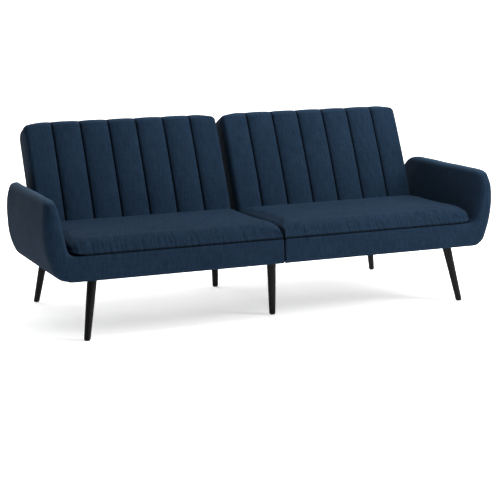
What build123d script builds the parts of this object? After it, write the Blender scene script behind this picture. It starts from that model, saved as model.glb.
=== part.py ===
"""A two-section futon sofa bed with click-clack reclining backs. Millimetres, +Z up.

The origin is on the floor at the middle of the footprint, +X is the sitter's left (the viewer's
right), and the front faces -Y. Every paired piece is built for the right section, on the +X
side, and mirrored for the left one.
"""

from build123d import *
import os
from math import cos, pi, radians, sin, sqrt, tan

os.makedirs("parts", exist_ok=True)

# ---------------------------------------------------------------- driving dimensions
# Upholstered arm and base shell
overall_width = 2026.0       # across the outer faces of the two arms
section_gap = 8.0            # between the shells of the two sections
base_bottom = 247.0          # underside of the base above the floor
base_height = 102.0          # underside of the base to the deck under the cushion
seat_depth = 551.0           # front face to the rear edge of the cushion
arm_depth = 797.0            # front face to the rear end of the arm
arm_height = 328.0           # underside of the base to the top of the arm
arm_foot_thickness = 97.0    # outermost face to the inner face, at deck level
arm_lean = 10.4              # degrees that the inner face leans outwards
arm_face_radius = 420.0      # bulge of the outer face
arm_bulge_height = 208.0     # widest point of the outer face above the underside
arm_bottom_radius = 75.0     # turn from the outer face into the underside
arm_top_radius = 22.5        # roll along the top of the arm
arm_seat_radius = 30.0       # cove between the inner face and the deck
arm_rear_radius = 95.0       # rear corners of the arm, seen from the side
arm_rear_plan_radius = 110.0 # outer rear corner of the arm, seen from above
front_edge_radius = 20.0     # roll round the front of the arm and base
centre_wall = 12.0           # shell wall beside the join of the two sections
arm_padding = 22.0           # padding between the arm's inner face and its board

# Seat cushion
cushion_gap = 16.0           # between the two cushions
cushion_front_radius = 42.0
cushion_edge_drop = 11.0     # crown of the cushion over its side edges
cushion_rear_radius = 12.0

# Reclining back
recline = 22.5               # degrees of the back from upright when the sofa is a sofa
back_thickness = 140.0
back_length = 508.0          # hinge axis to the top edge
back_gap = 24.0              # between the two backs
back_arm_clearance = 10.9    # between a back's end and the inner face of the arm
back_top_radius = 42.0
back_corner_radius = 34.0
back_end_radius = 20.0       # roll of the padding round its outer ends
channel_count = 7
channel_depth = 13.0         # stitched valley below the crown of a channel
scallop_depth = 5.0          # valley in the top edge over each seam
back_frame_inset = 30.0      # top edge to the frame inside

# Steel
tube = 25.0                  # base rails, square
tube_wall = 2.0
back_tube = 22.0             # back frame, square
back_tube_wall = 1.5
front_rail_setback = 77.0    # front face to the axis of the front rail and its legs
rear_rail_setback = 862.0    # front face to the axis of the rear rail and its legs
outer_rail_inset = 190.5     # outermost face of the arm to the outer side rail

# Wood
slat_thickness = 12.0
slat_width = 62.0
slat_count = 8
board_thickness = 18.0       # seat boards under the slats
arm_board_thickness = 15.0
arm_board_rise = 283.0       # underside of the base to the top of the arm board
arm_board_floor = 6.0        # underside of the base to the bottom of the arm board
arm_board_front = 60.0       # front face to the board
arm_board_length = 640.0

# Hinges
hinge_plate_thickness = 4.0
hinge_pin_radius = 6.0
hinge_drum_radius = 24.0
hinge_drum_height = 12.0
hinge_eye_radius = 20.0      # round end of the moving arm
hinge_arm_reach = 140.0      # hinge axis to the end of the moving arm
hinge_foot_front = 45.0      # foot of the fixed plate ahead of the hinge axis
hinge_foot_rear = 20.0       # and behind it
hinge_recess_ahead = 30.0    # recess in the padding, ahead of and above the hinge axis
pin_head_height = 4.0
pin_head_radius = 9.5

# Legs
leg_top_radius = 20.5
leg_foot_radius = 13.5
corner_leg_inset = 203.0     # outermost face of the arm to the top of a corner leg
leg_splay_side = 41.0        # sideways run of a corner leg from top to foot
leg_splay_front = 40.0       # forward run of a front corner leg
leg_splay_rear = 45.5        # rearward run of a rear corner leg
centre_leg_setback = 154.0   # front face to the front centre leg
glide_height = 4.0
glide_radius = 11.0
leg_sides = 18               # flats round a tapered leg and its glide
leg_plate_size = 70.0
leg_plate_thickness = 3.0
leg_plate_corner = 8.0       # cut corners of the plates
joining_plate_length = 150.0

# Fasteners
bolt_radius = 4.0
bolt_sides = 6               # bolts, screws and their holes are prisms of few faces
bolt_head_radius = 6.5
bolt_head_height = 5.0
screw_head_radius = 4.5
screw_head_height = 2.0
screw_reach = 25.0           # leg axis to each screw of its plate
leg_bolt_depth = 32.0        # hanger bolt below the plate
leg_bolt_rise = 15.0         # and above it
arm_bolt_setbacks = (170.0, 470.0)
joining_bolt_setbacks = (300.0, 480.0)
dust_cover_thickness = 1.0
dust_cover_margin = 6.0      # shell edge to the edge of the dust cover

# Clearances
seat_clearance = 0.3         # soft piece to what it rests on or fits round
pin_clearance = 0.05         # hinge pin in the moving arm, on the radius
hole_clearance = 0.3         # bolt in its hole, on the radius
sweep_clearance = 3.0        # turning back to the seat and to the rails

# ---------------------------------------------------------------- places that follow
outer_x = overall_width / 2
inner_x = section_gap / 2
base_top = base_bottom + base_height
arm_top = base_bottom + arm_height
bulge_z = base_bottom + arm_bulge_height
arm_inner_x = outer_x - arm_foot_thickness
lean = tan(radians(arm_lean))
back_radius = back_thickness / 2

foot_rear = rear_rail_setback + leg_splay_rear + leg_foot_radius
front_y = -foot_rear / 2
seat_rear_y = front_y + seat_depth
arm_rear_y = front_y + arm_depth
front_rail_y = front_y + front_rail_setback
rear_rail_y = front_y + rear_rail_setback
centre_leg_y = front_y + centre_leg_setback
front_wall_y = front_rail_y - tube / 2 - seat_clearance

rail_top = base_bottom + tube
rail_middle_z = base_bottom + tube / 2
pivot_y = seat_rear_y + sweep_clearance + back_radius
pivot_z = rail_top + sweep_clearance + back_radius
seat_top = pivot_z + back_radius

wall_face_x = inner_x + centre_wall
inner_rail_x = wall_face_x + seat_clearance
outer_rail_x = outer_x - outer_rail_inset - tube
rail_faces = (inner_rail_x + tube, outer_rail_x + tube)
corner_leg_x = outer_x - corner_leg_inset

hinge_arm_offset = hinge_plate_thickness + seat_clearance
back_upright_offset = hinge_arm_offset + hinge_plate_thickness
back_start_x = back_gap / 2
back_end_x = arm_inner_x - back_arm_clearance
back_width = back_end_x - back_start_x
back_frame_top = back_length - back_frame_inset
back_frame_bottom = hinge_recess_ahead + seat_clearance
recess_half_depth = back_tube / 2 + seat_clearance
bolt_space = bolt_head_height + 1.0
arm_bolt_levels = (hinge_recess_ahead + 45.0, hinge_arm_reach - 22.0)

tilt = radians(recline)
across = (0, cos(tilt), -sin(tilt))
upward = (0, sin(tilt), cos(tilt))
forward = (0, -cos(tilt), sin(tilt))


def back_side_plane(x):
    """Side view of the back: origin on the hinge axis, local x rearwards, local y up the back."""
    return Plane(origin=(x, pivot_y, pivot_z), x_dir=across, z_dir=(1, 0, 0))


def back_front_plane():
    """Front view of the back: local x to the right, local y up the back, normal forwards."""
    return Plane(origin=(0, pivot_y, pivot_z), x_dir=(1, 0, 0), z_dir=forward)


def back_end_plane(distance):
    """Section across the back at a distance up from the hinge axis: local y rearwards."""
    level = Plane(origin=(0, pivot_y, pivot_z), x_dir=(1, 0, 0), z_dir=upward)
    return level.offset(distance)


def front_plane(y):
    """Upright plane across the sofa at depth y: local y is up, and extruding backwards is negative."""
    return Plane.XZ.offset(-y)


def outer_face_x(z):
    """Where the bulged outer face of the arm stands at height z."""
    return outer_x - arm_face_radius + sqrt(arm_face_radius**2 - (z - bulge_z) ** 2)


def board_face_x(z):
    """Inner face of the arm board at height z, parallel to the arm's inner face."""
    return arm_inner_x + (z - base_top) * lean + arm_padding


def corner(sketch, x, y):
    """The vertex of a sketch that lies nearest to a point."""
    return sketch.vertices().sort_by_distance(Vector(x, y))[0]


def write(name, part):
    """Label one finished piece and write its STEP file."""
    part.label = name
    export_step(part, f"parts/{name}.step")


def write_pair(name, part):
    """Write a right-hand piece and its mirror image for the left section."""
    write(f"right_{name}", part)
    write(f"left_{name}", mirror(part, about=Plane.YZ))


def slab(x_range, y_range, z_range, mode=Mode.ADD):
    """A rectangular block between two corners, inside the current part."""
    with BuildSketch(Plane.XY.offset(z_range[0])) as base:
        with Locations(((x_range[0] + x_range[1]) / 2, (y_range[0] + y_range[1]) / 2)):
            Rectangle(x_range[1] - x_range[0], y_range[1] - y_range[0])
    extrude(base.sketch, amount=z_range[1] - z_range[0], mode=mode)


def rod_along_x(x_start, x_end, radius, points, mode=Mode.ADD):
    """Round rods or holes along X at (y, z) points, inside the current part."""
    with BuildSketch(Plane.YZ.offset(x_start)) as ends:
        with Locations(*points):
            Circle(radius)
    extrude(ends.sketch, amount=x_end - x_start, mode=mode)


def prism_along_x(x_start, x_end, radius, sides, points, mode=Mode.ADD):
    """Many-sided bolts, heads or holes along X at (y, z) points, inside the current part."""
    with BuildSketch(Plane.YZ.offset(x_start)) as ends:
        with Locations(*points):
            RegularPolygon(radius, sides)
    extrude(ends.sketch, amount=x_end - x_start, mode=mode)


def prism_along_z(z_start, z_end, radius, sides, points, mode=Mode.ADD):
    """Many-sided bolts, heads or holes along Z at (x, y) points, inside the current part."""
    with BuildSketch(Plane.XY.offset(z_start)) as ends:
        with Locations(*points):
            RegularPolygon(radius, sides)
    extrude(ends.sketch, amount=z_end - z_start, mode=mode)


arm_bolt_points = [(front_y + setback, rail_middle_z) for setback in arm_bolt_setbacks]
joining_bolt_points = [(front_y + setback, rail_middle_z) for setback in joining_bolt_setbacks]
corner_leg_tops = [(corner_leg_x, front_rail_y), (corner_leg_x, rear_rail_y)]
corner_screws = [
    (corner_leg_x - screw_reach, front_rail_y),
    (outer_rail_x + tube / 2, front_rail_y + screw_reach),
    (corner_leg_x - screw_reach, rear_rail_y),
    (outer_rail_x + tube / 2, rear_rail_y - screw_reach),
]
centre_leg_tops = [(0.0, centre_leg_y), (0.0, rear_rail_y)]
joining_screw_x = inner_rail_x + tube / 2


# ---------------------------------------------------------------- arm and base shell
def make_shell():
    """Arm and base in one upholstered tub, open below and behind the seat for the frame."""
    with BuildPart() as shell:
        with BuildSketch(front_plane(front_y)) as section:
            with BuildLine():
                Polyline(
                    (outer_face_x(arm_top), arm_top),
                    (arm_inner_x + (arm_top - base_top) * lean, arm_top),
                    (arm_inner_x, base_top),
                    (inner_x, base_top),
                    (inner_x, base_bottom),
                    (outer_face_x(base_bottom), base_bottom),
                )
                ThreePointArc(
                    (outer_face_x(base_bottom), base_bottom),
                    (outer_x, bulge_z),
                    (outer_face_x(arm_top), arm_top),
                )
            make_face()
            inner_top_x = arm_inner_x + (arm_top - base_top) * lean
            fillet(corner(section, outer_face_x(base_bottom), base_bottom), arm_bottom_radius)
            fillet(corner(section, outer_face_x(arm_top), arm_top), arm_top_radius)
            fillet(corner(section, inner_top_x, arm_top), arm_top_radius)
            fillet(corner(section, arm_inner_x, base_top), arm_seat_radius)
        extrude(amount=-arm_depth)
        with BuildSketch(Plane.YZ) as side:
            with Locations(((front_y + arm_rear_y) / 2, (base_bottom + arm_top) / 2)):
                Rectangle(arm_depth, arm_height)
            fillet(corner(side, arm_rear_y, arm_top), arm_rear_radius)
            fillet(corner(side, arm_rear_y, base_bottom), arm_rear_radius)
        extrude(amount=outer_x, mode=Mode.INTERSECT)
        with BuildSketch(Plane.XY.offset(base_bottom)) as plan:
            with Locations((outer_x / 2, (front_y + arm_rear_y) / 2)):
                Rectangle(outer_x, arm_depth)
            fillet(corner(plan, outer_x, arm_rear_y), arm_rear_plan_radius)
        extrude(amount=arm_height, mode=Mode.INTERSECT)
        front_face = shell.faces().filter_by(Axis.Y).sort_by(Axis.Y)[0]
        fillet(front_face.edges(), front_edge_radius)
        slab((0, arm_inner_x), (seat_rear_y, arm_rear_y), (base_bottom, arm_top), Mode.SUBTRACT)
        pocket = (wall_face_x, rail_faces[1] + seat_clearance)
        slab(pocket, (front_wall_y, seat_rear_y), (base_bottom, base_top), Mode.SUBTRACT)
        board_ends = (
            front_y + arm_board_front - seat_clearance,
            front_y + arm_board_front + arm_board_length + seat_clearance,
        )
        with BuildSketch(front_plane(board_ends[0])):
            with BuildLine():
                arm_board_outline(seat_clearance, base_bottom, base_bottom + arm_board_rise)
            make_face()
        extrude(amount=board_ends[0] - board_ends[1], mode=Mode.SUBTRACT)
        hole = (bolt_radius + hole_clearance, bolt_sides)
        board_x = board_face_x(rail_top)
        prism_along_x(rail_faces[1], board_x, *hole, arm_bolt_points, Mode.SUBTRACT)
        prism_along_x(inner_x, wall_face_x, *hole, joining_bolt_points, Mode.SUBTRACT)
    return shell.part


def arm_board_outline(clearance, low, high):
    """The leaning outline of the arm board, grown by a clearance, for the board or its slot."""
    thick = arm_board_thickness / cos(radians(arm_lean))
    Polyline(
        (board_face_x(low - clearance) - clearance, low - clearance),
        (board_face_x(high + clearance) - clearance, high + clearance),
        (board_face_x(high + clearance) + thick + clearance, high + clearance),
        (board_face_x(low - clearance) + thick + clearance, low - clearance),
        close=True,
    )


def make_arm_board():
    """Plywood board inside the arm, leaning with it and bolted to the outer side rail."""
    with BuildPart() as board:
        with BuildSketch(front_plane(front_y + arm_board_front)):
            with BuildLine():
                low = base_bottom + arm_board_floor
                arm_board_outline(0, low, base_bottom + arm_board_rise)
            make_face()
        extrude(amount=-arm_board_length)
        hole = (bolt_radius + hole_clearance, bolt_sides)
        prism_along_x(board_face_x(base_bottom), outer_x, *hole, arm_bolt_points, Mode.SUBTRACT)
    return board.part


# ---------------------------------------------------------------- seat
def make_cushion():
    """Crowned foam cushion that drops over the front and fits the arm's cove and lean."""
    low = base_top + seat_clearance
    edge_top = seat_top - cushion_edge_drop / 2
    crown_top = seat_top + cushion_edge_drop / 2
    start_x = cushion_gap / 2
    side_x = arm_inner_x - 2 * seat_clearance
    side_top_x = side_x + (edge_top - base_top) * lean
    with BuildPart() as cushion:
        with BuildSketch(front_plane(front_y)) as section:
            with BuildLine():
                Polyline(
                    (start_x, edge_top),
                    (start_x, low),
                    (side_x, low),
                    (side_top_x, edge_top),
                )
                ThreePointArc(
                    (start_x, edge_top), ((start_x + side_top_x) / 2, crown_top), (side_top_x, edge_top)
                )
            make_face()
            fillet(corner(section, side_x, low), arm_seat_radius)
            fillet(corner(section, side_top_x, edge_top), cushion_rear_radius)
            fillet(corner(section, start_x, edge_top), cushion_rear_radius)
        extrude(amount=-seat_depth)
        with BuildSketch(Plane.YZ) as side:
            with Locations(((front_y + seat_rear_y) / 2, (low + crown_top) / 2)):
                Rectangle(seat_depth, crown_top - low)
            fillet(corner(side, front_y, crown_top), cushion_front_radius)
            fillet(corner(side, seat_rear_y, crown_top), cushion_rear_radius)
        extrude(amount=outer_x, mode=Mode.INTERSECT)
    return cushion.part


def make_slats():
    """Wooden slats that run from the front wall of the shell to the rear board."""
    low = base_top - slat_thickness
    span = outer_rail_x + tube - inner_rail_x
    pitch = (span - slat_width) / (slat_count - 1)
    with BuildPart() as slats:
        with BuildSketch(Plane.XY.offset(low)):
            middle_x = inner_rail_x + span / 2
            middle_y = (front_wall_y + seat_clearance + seat_rear_y) / 2
            with Locations((middle_x, middle_y)):
                with GridLocations(pitch, 1, slat_count, 1):
                    Rectangle(slat_width, seat_rear_y - front_wall_y - seat_clearance)
        extrude(amount=slat_thickness)
    return slats.part


def make_seat_board(y_front):
    """Plywood board on edge between the rails and the slats, with its front face at y_front."""
    with BuildPart() as board:
        x_range = (inner_rail_x, outer_rail_x + tube)
        y_range = (y_front, y_front + board_thickness)
        slab(x_range, y_range, (rail_top, base_top - slat_thickness))
    return board.part


def make_dust_cover():
    """Thin cloth stapled under the base, cut out round the leg and joining plates."""
    with BuildPart() as cover:
        x_range = (inner_x + dust_cover_margin, rail_faces[1] + dust_cover_margin)
        y_range = (front_y + front_edge_radius + dust_cover_margin, seat_rear_y)
        z_range = (base_bottom - dust_cover_thickness, base_bottom)
        slab(x_range, y_range, z_range)
        half = leg_plate_size / 2 + 1.0
        around = [(corner_leg_x, front_rail_y, half), (0.0, centre_leg_y, joining_plate_length / 2 + 1.0)]
        for x, y, reach in around:
            slab((x - reach, x + reach), (y - half, y + half), z_range, Mode.SUBTRACT)
    return cover.part


# ---------------------------------------------------------------- base rails
def make_cross_rail(y, x_end):
    """Square tube across one section at depth y, from the centre wall out to x_end."""
    with BuildPart() as rail:
        with BuildSketch(Plane.YZ.offset(inner_rail_x)):
            with Locations((y, rail_middle_z)):
                Rectangle(tube, tube)
                Rectangle(tube - 2 * tube_wall, tube - 2 * tube_wall, mode=Mode.SUBTRACT)
        extrude(amount=x_end - inner_rail_x)
        legs = [point for point in corner_leg_tops if abs(point[1] - y) < tube]
        hole = (bolt_radius + hole_clearance, bolt_sides)
        prism_along_z(base_bottom, base_bottom + tube_wall, *hole, legs, Mode.SUBTRACT)
    return rail.part


def make_side_rail(x, cross_bolts):
    """Square tube from the front rail to the rear rail, drilled for its cross bolts."""
    with BuildPart() as rail:
        with BuildSketch(front_plane(front_rail_y + tube / 2)):
            with Locations((x + tube / 2, rail_middle_z)):
                Rectangle(tube, tube)
                Rectangle(tube - 2 * tube_wall, tube - 2 * tube_wall, mode=Mode.SUBTRACT)
        extrude(amount=-(rear_rail_y - front_rail_y - tube))
        hole = (bolt_radius + hole_clearance, bolt_sides)
        prism_along_x(x, x + tube, *hole, cross_bolts, Mode.SUBTRACT)
    return rail.part


# ---------------------------------------------------------------- hinges
def make_hinge_plates():
    """Fixed hinge plates welded to the side rails, each with its ratchet drum round the pin."""
    drum = [(pivot_y, pivot_z)]
    with BuildPart() as plates:
        for face_x in rail_faces:
            with BuildSketch(Plane.YZ.offset(face_x)) as outline:
                with BuildLine():
                    Polyline(
                        (pivot_y - hinge_foot_front, base_bottom),
                        (pivot_y + hinge_foot_rear, base_bottom),
                        (pivot_y + hinge_foot_rear, rail_top),
                        (pivot_y + hinge_drum_radius, pivot_z),
                        (pivot_y + hinge_drum_radius / 2, pivot_z + hinge_drum_radius),
                        (pivot_y - hinge_drum_radius / 2, pivot_z + hinge_drum_radius),
                        (pivot_y - hinge_drum_radius, pivot_z),
                        (pivot_y - hinge_foot_front, rail_top),
                        close=True,
                    )
                make_face()
            extrude(outline.sketch, amount=hinge_plate_thickness)
            rod_along_x(face_x - hinge_drum_height, face_x, hinge_drum_radius, drum)
            through = (face_x - hinge_drum_height, face_x + hinge_plate_thickness)
            rod_along_x(*through, hinge_pin_radius, drum, Mode.SUBTRACT)
    return plates.part


def make_hinge_arms():
    """Moving hinge arms: each a round eye on its pin and a bar up inside the back."""
    with BuildPart() as arms:
        for face_x in rail_faces:
            with BuildSketch(back_side_plane(face_x + hinge_arm_offset)) as outline:
                Circle(hinge_eye_radius)
                Rectangle(back_tube, hinge_arm_reach, align=(Align.CENTER, Align.MIN))
                with Locations(*[(0, level) for level in arm_bolt_levels]):
                    RegularPolygon(bolt_radius + hole_clearance, bolt_sides, mode=Mode.SUBTRACT)
                Circle(hinge_pin_radius + pin_clearance, mode=Mode.SUBTRACT)
            extrude(outline.sketch, amount=hinge_plate_thickness)
    return arms.part


def make_hinge_pins():
    """The two hinge pins of the right section, each with a hexagon head and nut."""
    axis = [(pivot_y, pivot_z)]
    with BuildPart() as pins:
        for face_x in rail_faces:
            head_x = face_x - hinge_drum_height
            tail_x = face_x + back_upright_offset + seat_clearance
            prism_along_x(head_x - pin_head_height, head_x, pin_head_radius, 6, axis)
            rod_along_x(head_x, tail_x, hinge_pin_radius, axis)
            prism_along_x(tail_x, tail_x + pin_head_height, pin_head_radius, 6, axis)
    return pins.part


def make_cross_bolts(spans, points):
    """Hexagon-headed bolts with nuts along X, gripping each span of x at each point."""
    with BuildPart() as bolts:
        for start, end in spans:
            prism_along_x(start, end, bolt_radius, bolt_sides, points)
            prism_along_x(start - bolt_head_height, start, bolt_head_radius, 6, points)
            prism_along_x(end, end + bolt_head_height, bolt_head_radius, 6, points)
    return bolts.part


def make_hinge_arm_bolts():
    """Bolts that clamp the two hinge arms to the uprights of the back frame."""
    with BuildPart() as bolts:
        for face_x in rail_faces:
            start = face_x + hinge_arm_offset
            end = face_x + back_upright_offset + back_tube
            lengths = (
                (start - bolt_head_height, start, bolt_head_radius, 6),
                (start, end, bolt_radius, bolt_sides),
                (end, end + bolt_head_height, bolt_head_radius, 6),
            )
            for low, high, radius, sides in lengths:
                with BuildSketch(back_side_plane(low)):
                    with Locations(*[(0, level) for level in arm_bolt_levels]):
                        RegularPolygon(radius, sides)
                extrude(amount=high - low)
    return bolts.part


# ---------------------------------------------------------------- back
upright_xs = tuple(face_x + back_upright_offset for face_x in rail_faces)
recess_x = (
    rail_faces[0] + hinge_arm_offset - bolt_space,
    upright_xs[1] + back_tube + bolt_space,
)


def make_back_frame():
    """Welded frame of square tube inside the back, with its uprights beside the hinge arms."""
    hollow = back_tube - 2 * back_tube_wall
    height = back_frame_top - back_frame_bottom
    bars = (
        (back_frame_bottom, rail_faces[1] + hinge_arm_offset),
        (back_frame_top - back_tube, upright_xs[1]),
    )
    with BuildPart() as frame:
        for x in upright_xs:
            with BuildSketch(back_end_plane(back_frame_bottom)):
                with Locations((x + back_tube / 2, 0)):
                    Rectangle(back_tube, back_tube)
                    Rectangle(hollow, hollow, mode=Mode.SUBTRACT)
            extrude(amount=height)
            with BuildSketch(back_side_plane(x)):
                with Locations(*[(0, level) for level in arm_bolt_levels]):
                    RegularPolygon(bolt_radius + hole_clearance, bolt_sides)
            extrude(amount=back_tube, mode=Mode.SUBTRACT)
        start = upright_xs[0] + back_tube
        for level, end in bars:
            with BuildSketch(back_side_plane(start)):
                with Locations((0, level + back_tube / 2)):
                    Rectangle(back_tube, back_tube)
                    Rectangle(hollow, hollow, mode=Mode.SUBTRACT)
            extrude(amount=end - start)
    return frame.part


def make_back_core():
    """Foam core that fills the opening of the back frame."""
    start = upright_xs[0] + back_tube + bolt_space
    end = rail_faces[1] + hinge_arm_offset - bolt_space
    low = back_frame_bottom + back_tube + seat_clearance
    high = back_frame_top - back_tube - seat_clearance
    with BuildPart() as core:
        with BuildSketch(back_end_plane(low)):
            with Locations(((start + end) / 2, 0)):
                Rectangle(end - start, back_tube)
        extrude(amount=high - low)
    return core.part


def cut_back_recesses(depth_range):
    """Cut the frame recess and the two hinge recesses from one half of the padding."""
    low, high = depth_range
    with BuildSketch(back_side_plane(recess_x[0])) as frame_recess:
        with Locations(((low + high) / 2, (hinge_recess_ahead + back_frame_top + seat_clearance) / 2)):
            Rectangle(high - low, back_frame_top + seat_clearance - hinge_recess_ahead)
    extrude(frame_recess.sketch, amount=recess_x[1] - recess_x[0], mode=Mode.SUBTRACT)
    reach = (-hinge_recess_ahead, 0.0) if low < 0 else (0.0, back_radius)
    for face_x in rail_faces:
        start = face_x - hinge_drum_height - pin_head_height
        end = face_x + back_upright_offset + pin_head_height + 2.0
        with BuildSketch(back_side_plane(start)) as hinge_recess:
            with Locations(((reach[0] + reach[1]) / 2, (hinge_recess_ahead - back_radius) / 2)):
                Rectangle(reach[1] - reach[0], hinge_recess_ahead + back_radius)
        extrude(hinge_recess.sketch, amount=end - start, mode=Mode.SUBTRACT)


def make_back_half(low, high):
    """One half of the back's side view, between two depths, as a slab across the section."""
    with BuildSketch(back_side_plane(back_start_x)) as profile:
        Rectangle(back_thickness, back_length, align=(Align.CENTER, Align.MIN))
        Circle(back_radius)
        fillet(corner(profile, -back_radius, back_length), back_top_radius)
        fillet(corner(profile, back_radius, back_length), back_top_radius)
        with Locations(((low + high) / 2, (back_length - back_radius) / 2)):
            Rectangle(high - low, back_length + back_radius, mode=Mode.INTERSECT)
    extrude(profile.sketch, amount=back_width)


def make_back_pad():
    """Front padding of the back: sewn channels that run up it and roll over the top edge."""
    pitch = back_width / channel_count
    seams = [back_start_x + pitch * step for step in range(channel_count + 1)]
    with BuildPart() as pad:
        make_back_half(-back_radius, 0.0)
        with BuildSketch(back_end_plane(-back_radius)) as channels:
            with BuildLine():
                for start, end in zip(seams, seams[1:]):
                    valley = channel_depth - back_radius
                    middle = ((start + end) / 2, -back_radius)
                    ThreePointArc((start, valley), middle, (end, valley))
                Polyline((seams[-1], valley), (seams[-1], 0), (seams[0], 0), (seams[0], valley))
            make_face()
            fillet(corner(channels, seams[0], valley), back_end_radius)
            fillet(corner(channels, seams[-1], valley), back_end_radius)
        extrude(amount=back_length + back_radius, mode=Mode.INTERSECT)
        with BuildSketch(back_front_plane()) as face:
            with BuildLine():
                for start, end in zip(seams, seams[1:]):
                    valley = back_length - scallop_depth
                    middle = ((start + end) / 2, back_length)
                    ThreePointArc((start, valley), middle, (end, valley))
                low = -back_radius
                Polyline((seams[-1], valley), (seams[-1], low), (seams[0], low), (seams[0], valley))
            make_face()
            fillet(corner(face, seams[0], back_length - scallop_depth), back_corner_radius)
            fillet(corner(face, seams[-1], back_length - scallop_depth), back_corner_radius)
        extrude(amount=back_radius, mode=Mode.INTERSECT)
        cut_back_recesses((-recess_half_depth, 0.0))
    return pad.part


def make_back_cover():
    """Rear padding and cover of the back, flat behind and rounded at its ends."""
    with BuildPart() as cover:
        make_back_half(0.0, back_radius)
        with BuildSketch(back_front_plane()) as face:
            middle = ((back_start_x + back_end_x) / 2, (back_length - scallop_depth - back_radius) / 2)
            with Locations(middle):
                Rectangle(back_width, back_length - scallop_depth + back_radius)
            fillet(corner(face, back_start_x, back_length), back_corner_radius)
            fillet(corner(face, back_end_x, back_length), back_corner_radius)
        extrude(amount=-back_radius, mode=Mode.INTERSECT)
        with BuildSketch(back_end_plane(-back_radius)) as ends:
            with Locations(((back_start_x + back_end_x) / 2, back_radius / 2)):
                Rectangle(back_width, back_radius)
            fillet(corner(ends, back_start_x, back_radius), back_end_radius)
            fillet(corner(ends, back_end_x, back_radius), back_end_radius)
        extrude(amount=back_length + back_radius, mode=Mode.INTERSECT)
        cut_back_recesses((0.0, recess_half_depth))
    return cover.part


# ---------------------------------------------------------------- legs
def make_leg(top, foot):
    """Tapered leg of many flats between its plate and its glide, with a blind hole for its bolt."""
    plate_bottom = base_bottom - leg_plate_thickness
    turns = [2 * pi * step / leg_sides for step in range(leg_sides + 1)]
    rings = []
    for (x, y), z, radius in ((foot, glide_height, leg_foot_radius), (top, plate_bottom, leg_top_radius)):
        rings.append([(x + radius * cos(turn), y + radius * sin(turn), z) for turn in turns])
    low, high = rings
    flats = [Face(Wire.make_polygon([*low[i : i + 2], *high[i : i + 2][::-1]])) for i in range(leg_sides)]
    ends = [Face(Wire.make_polygon(ring[:-1])) for ring in rings]
    with BuildPart() as leg:
        add(Solid(Shell(flats + ends)))
        hole = (plate_bottom - leg_bolt_depth, plate_bottom, bolt_radius, bolt_sides)
        prism_along_z(*hole, [top], Mode.SUBTRACT)
    return leg.part


def make_plates(length, tops, screws):
    """Level plates that carry the legs, holed for their bolts, with the heads of their screws."""
    low = base_bottom - leg_plate_thickness
    with BuildPart() as plates:
        with BuildSketch(Plane.XY.offset(low)) as outline:
            with Locations(*tops):
                Rectangle(length, leg_plate_size)
            chamfer(outline.vertices(), leg_plate_corner)
        extrude(amount=leg_plate_thickness)
        through = (low, base_bottom)
        prism_along_z(*through, bolt_radius, bolt_sides, tops, Mode.SUBTRACT)
        prism_along_z(low - screw_head_height, low, screw_head_radius, 6, screws)
    return plates.part


def make_leg_bolts(corner_points, centre_points):
    """Bolts from the legs into their plates: hanger bolts at the corners, weld studs at the centre."""
    low = base_bottom - leg_plate_thickness
    with BuildPart() as bolts:
        prism_along_z(low - leg_bolt_depth, low + leg_bolt_rise, bolt_radius, bolt_sides, corner_points)
        prism_along_z(low - leg_bolt_depth, base_bottom, bolt_radius, bolt_sides, centre_points)
    return bolts.part


def make_glides(points):
    """Hard plastic glides under the feet."""
    with BuildPart() as glides:
        prism_along_z(0, glide_height, glide_radius, leg_sides, points)
    return glides.part


# ---------------------------------------------------------------- assembly
outer_rail_end = rail_faces[1]
write_pair("arm_shell", make_shell())
write_pair("arm_board", make_arm_board())
write_pair("seat_cushion", make_cushion())
write_pair("seat_slats", make_slats())
write_pair("front_seat_board", make_seat_board(front_rail_y - tube / 2))
write_pair("rear_seat_board", make_seat_board(seat_rear_y - board_thickness))
write_pair("dust_cover", make_dust_cover())
write_pair("front_rail", make_cross_rail(front_rail_y, outer_rail_end))
write_pair("rear_rail", make_cross_rail(rear_rail_y, corner_leg_x + leg_plate_size / 2))
write_pair("inner_side_rail", make_side_rail(inner_rail_x, joining_bolt_points))
write_pair("outer_side_rail", make_side_rail(outer_rail_x, arm_bolt_points))
write_pair("hinge_plates", make_hinge_plates())
write_pair("hinge_arms", make_hinge_arms())
with BuildPart() as hinge_pins:
    add(make_hinge_pins())
    mirror(about=Plane.YZ)
write("hinge_pins", hinge_pins.part)
write_pair("hinge_arm_bolts", make_hinge_arm_bolts())
write_pair("back_frame", make_back_frame())
write_pair("back_core", make_back_core())
write_pair("back_pad", make_back_pad())
write_pair("back_cover", make_back_cover())
write_pair("leg_plates", make_plates(leg_plate_size, corner_leg_tops, corner_screws))

front_foot = (corner_leg_x + leg_splay_side, front_rail_y - leg_splay_front)
rear_foot = (corner_leg_x + leg_splay_side, rear_rail_y + leg_splay_rear)
write_pair("front_leg", make_leg(corner_leg_tops[0], front_foot))
write_pair("rear_leg", make_leg(corner_leg_tops[1], rear_foot))
write("front_centre_leg", make_leg(centre_leg_tops[0], centre_leg_tops[0]))
write("rear_centre_leg", make_leg(centre_leg_tops[1], centre_leg_tops[1]))
for end_name, top in zip(("front", "rear"), centre_leg_tops):
    screws = [(side * joining_screw_x, top[1]) for side in (1, -1)]
    write(f"{end_name}_joining_plate", make_plates(joining_plate_length, [top], screws))

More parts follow.
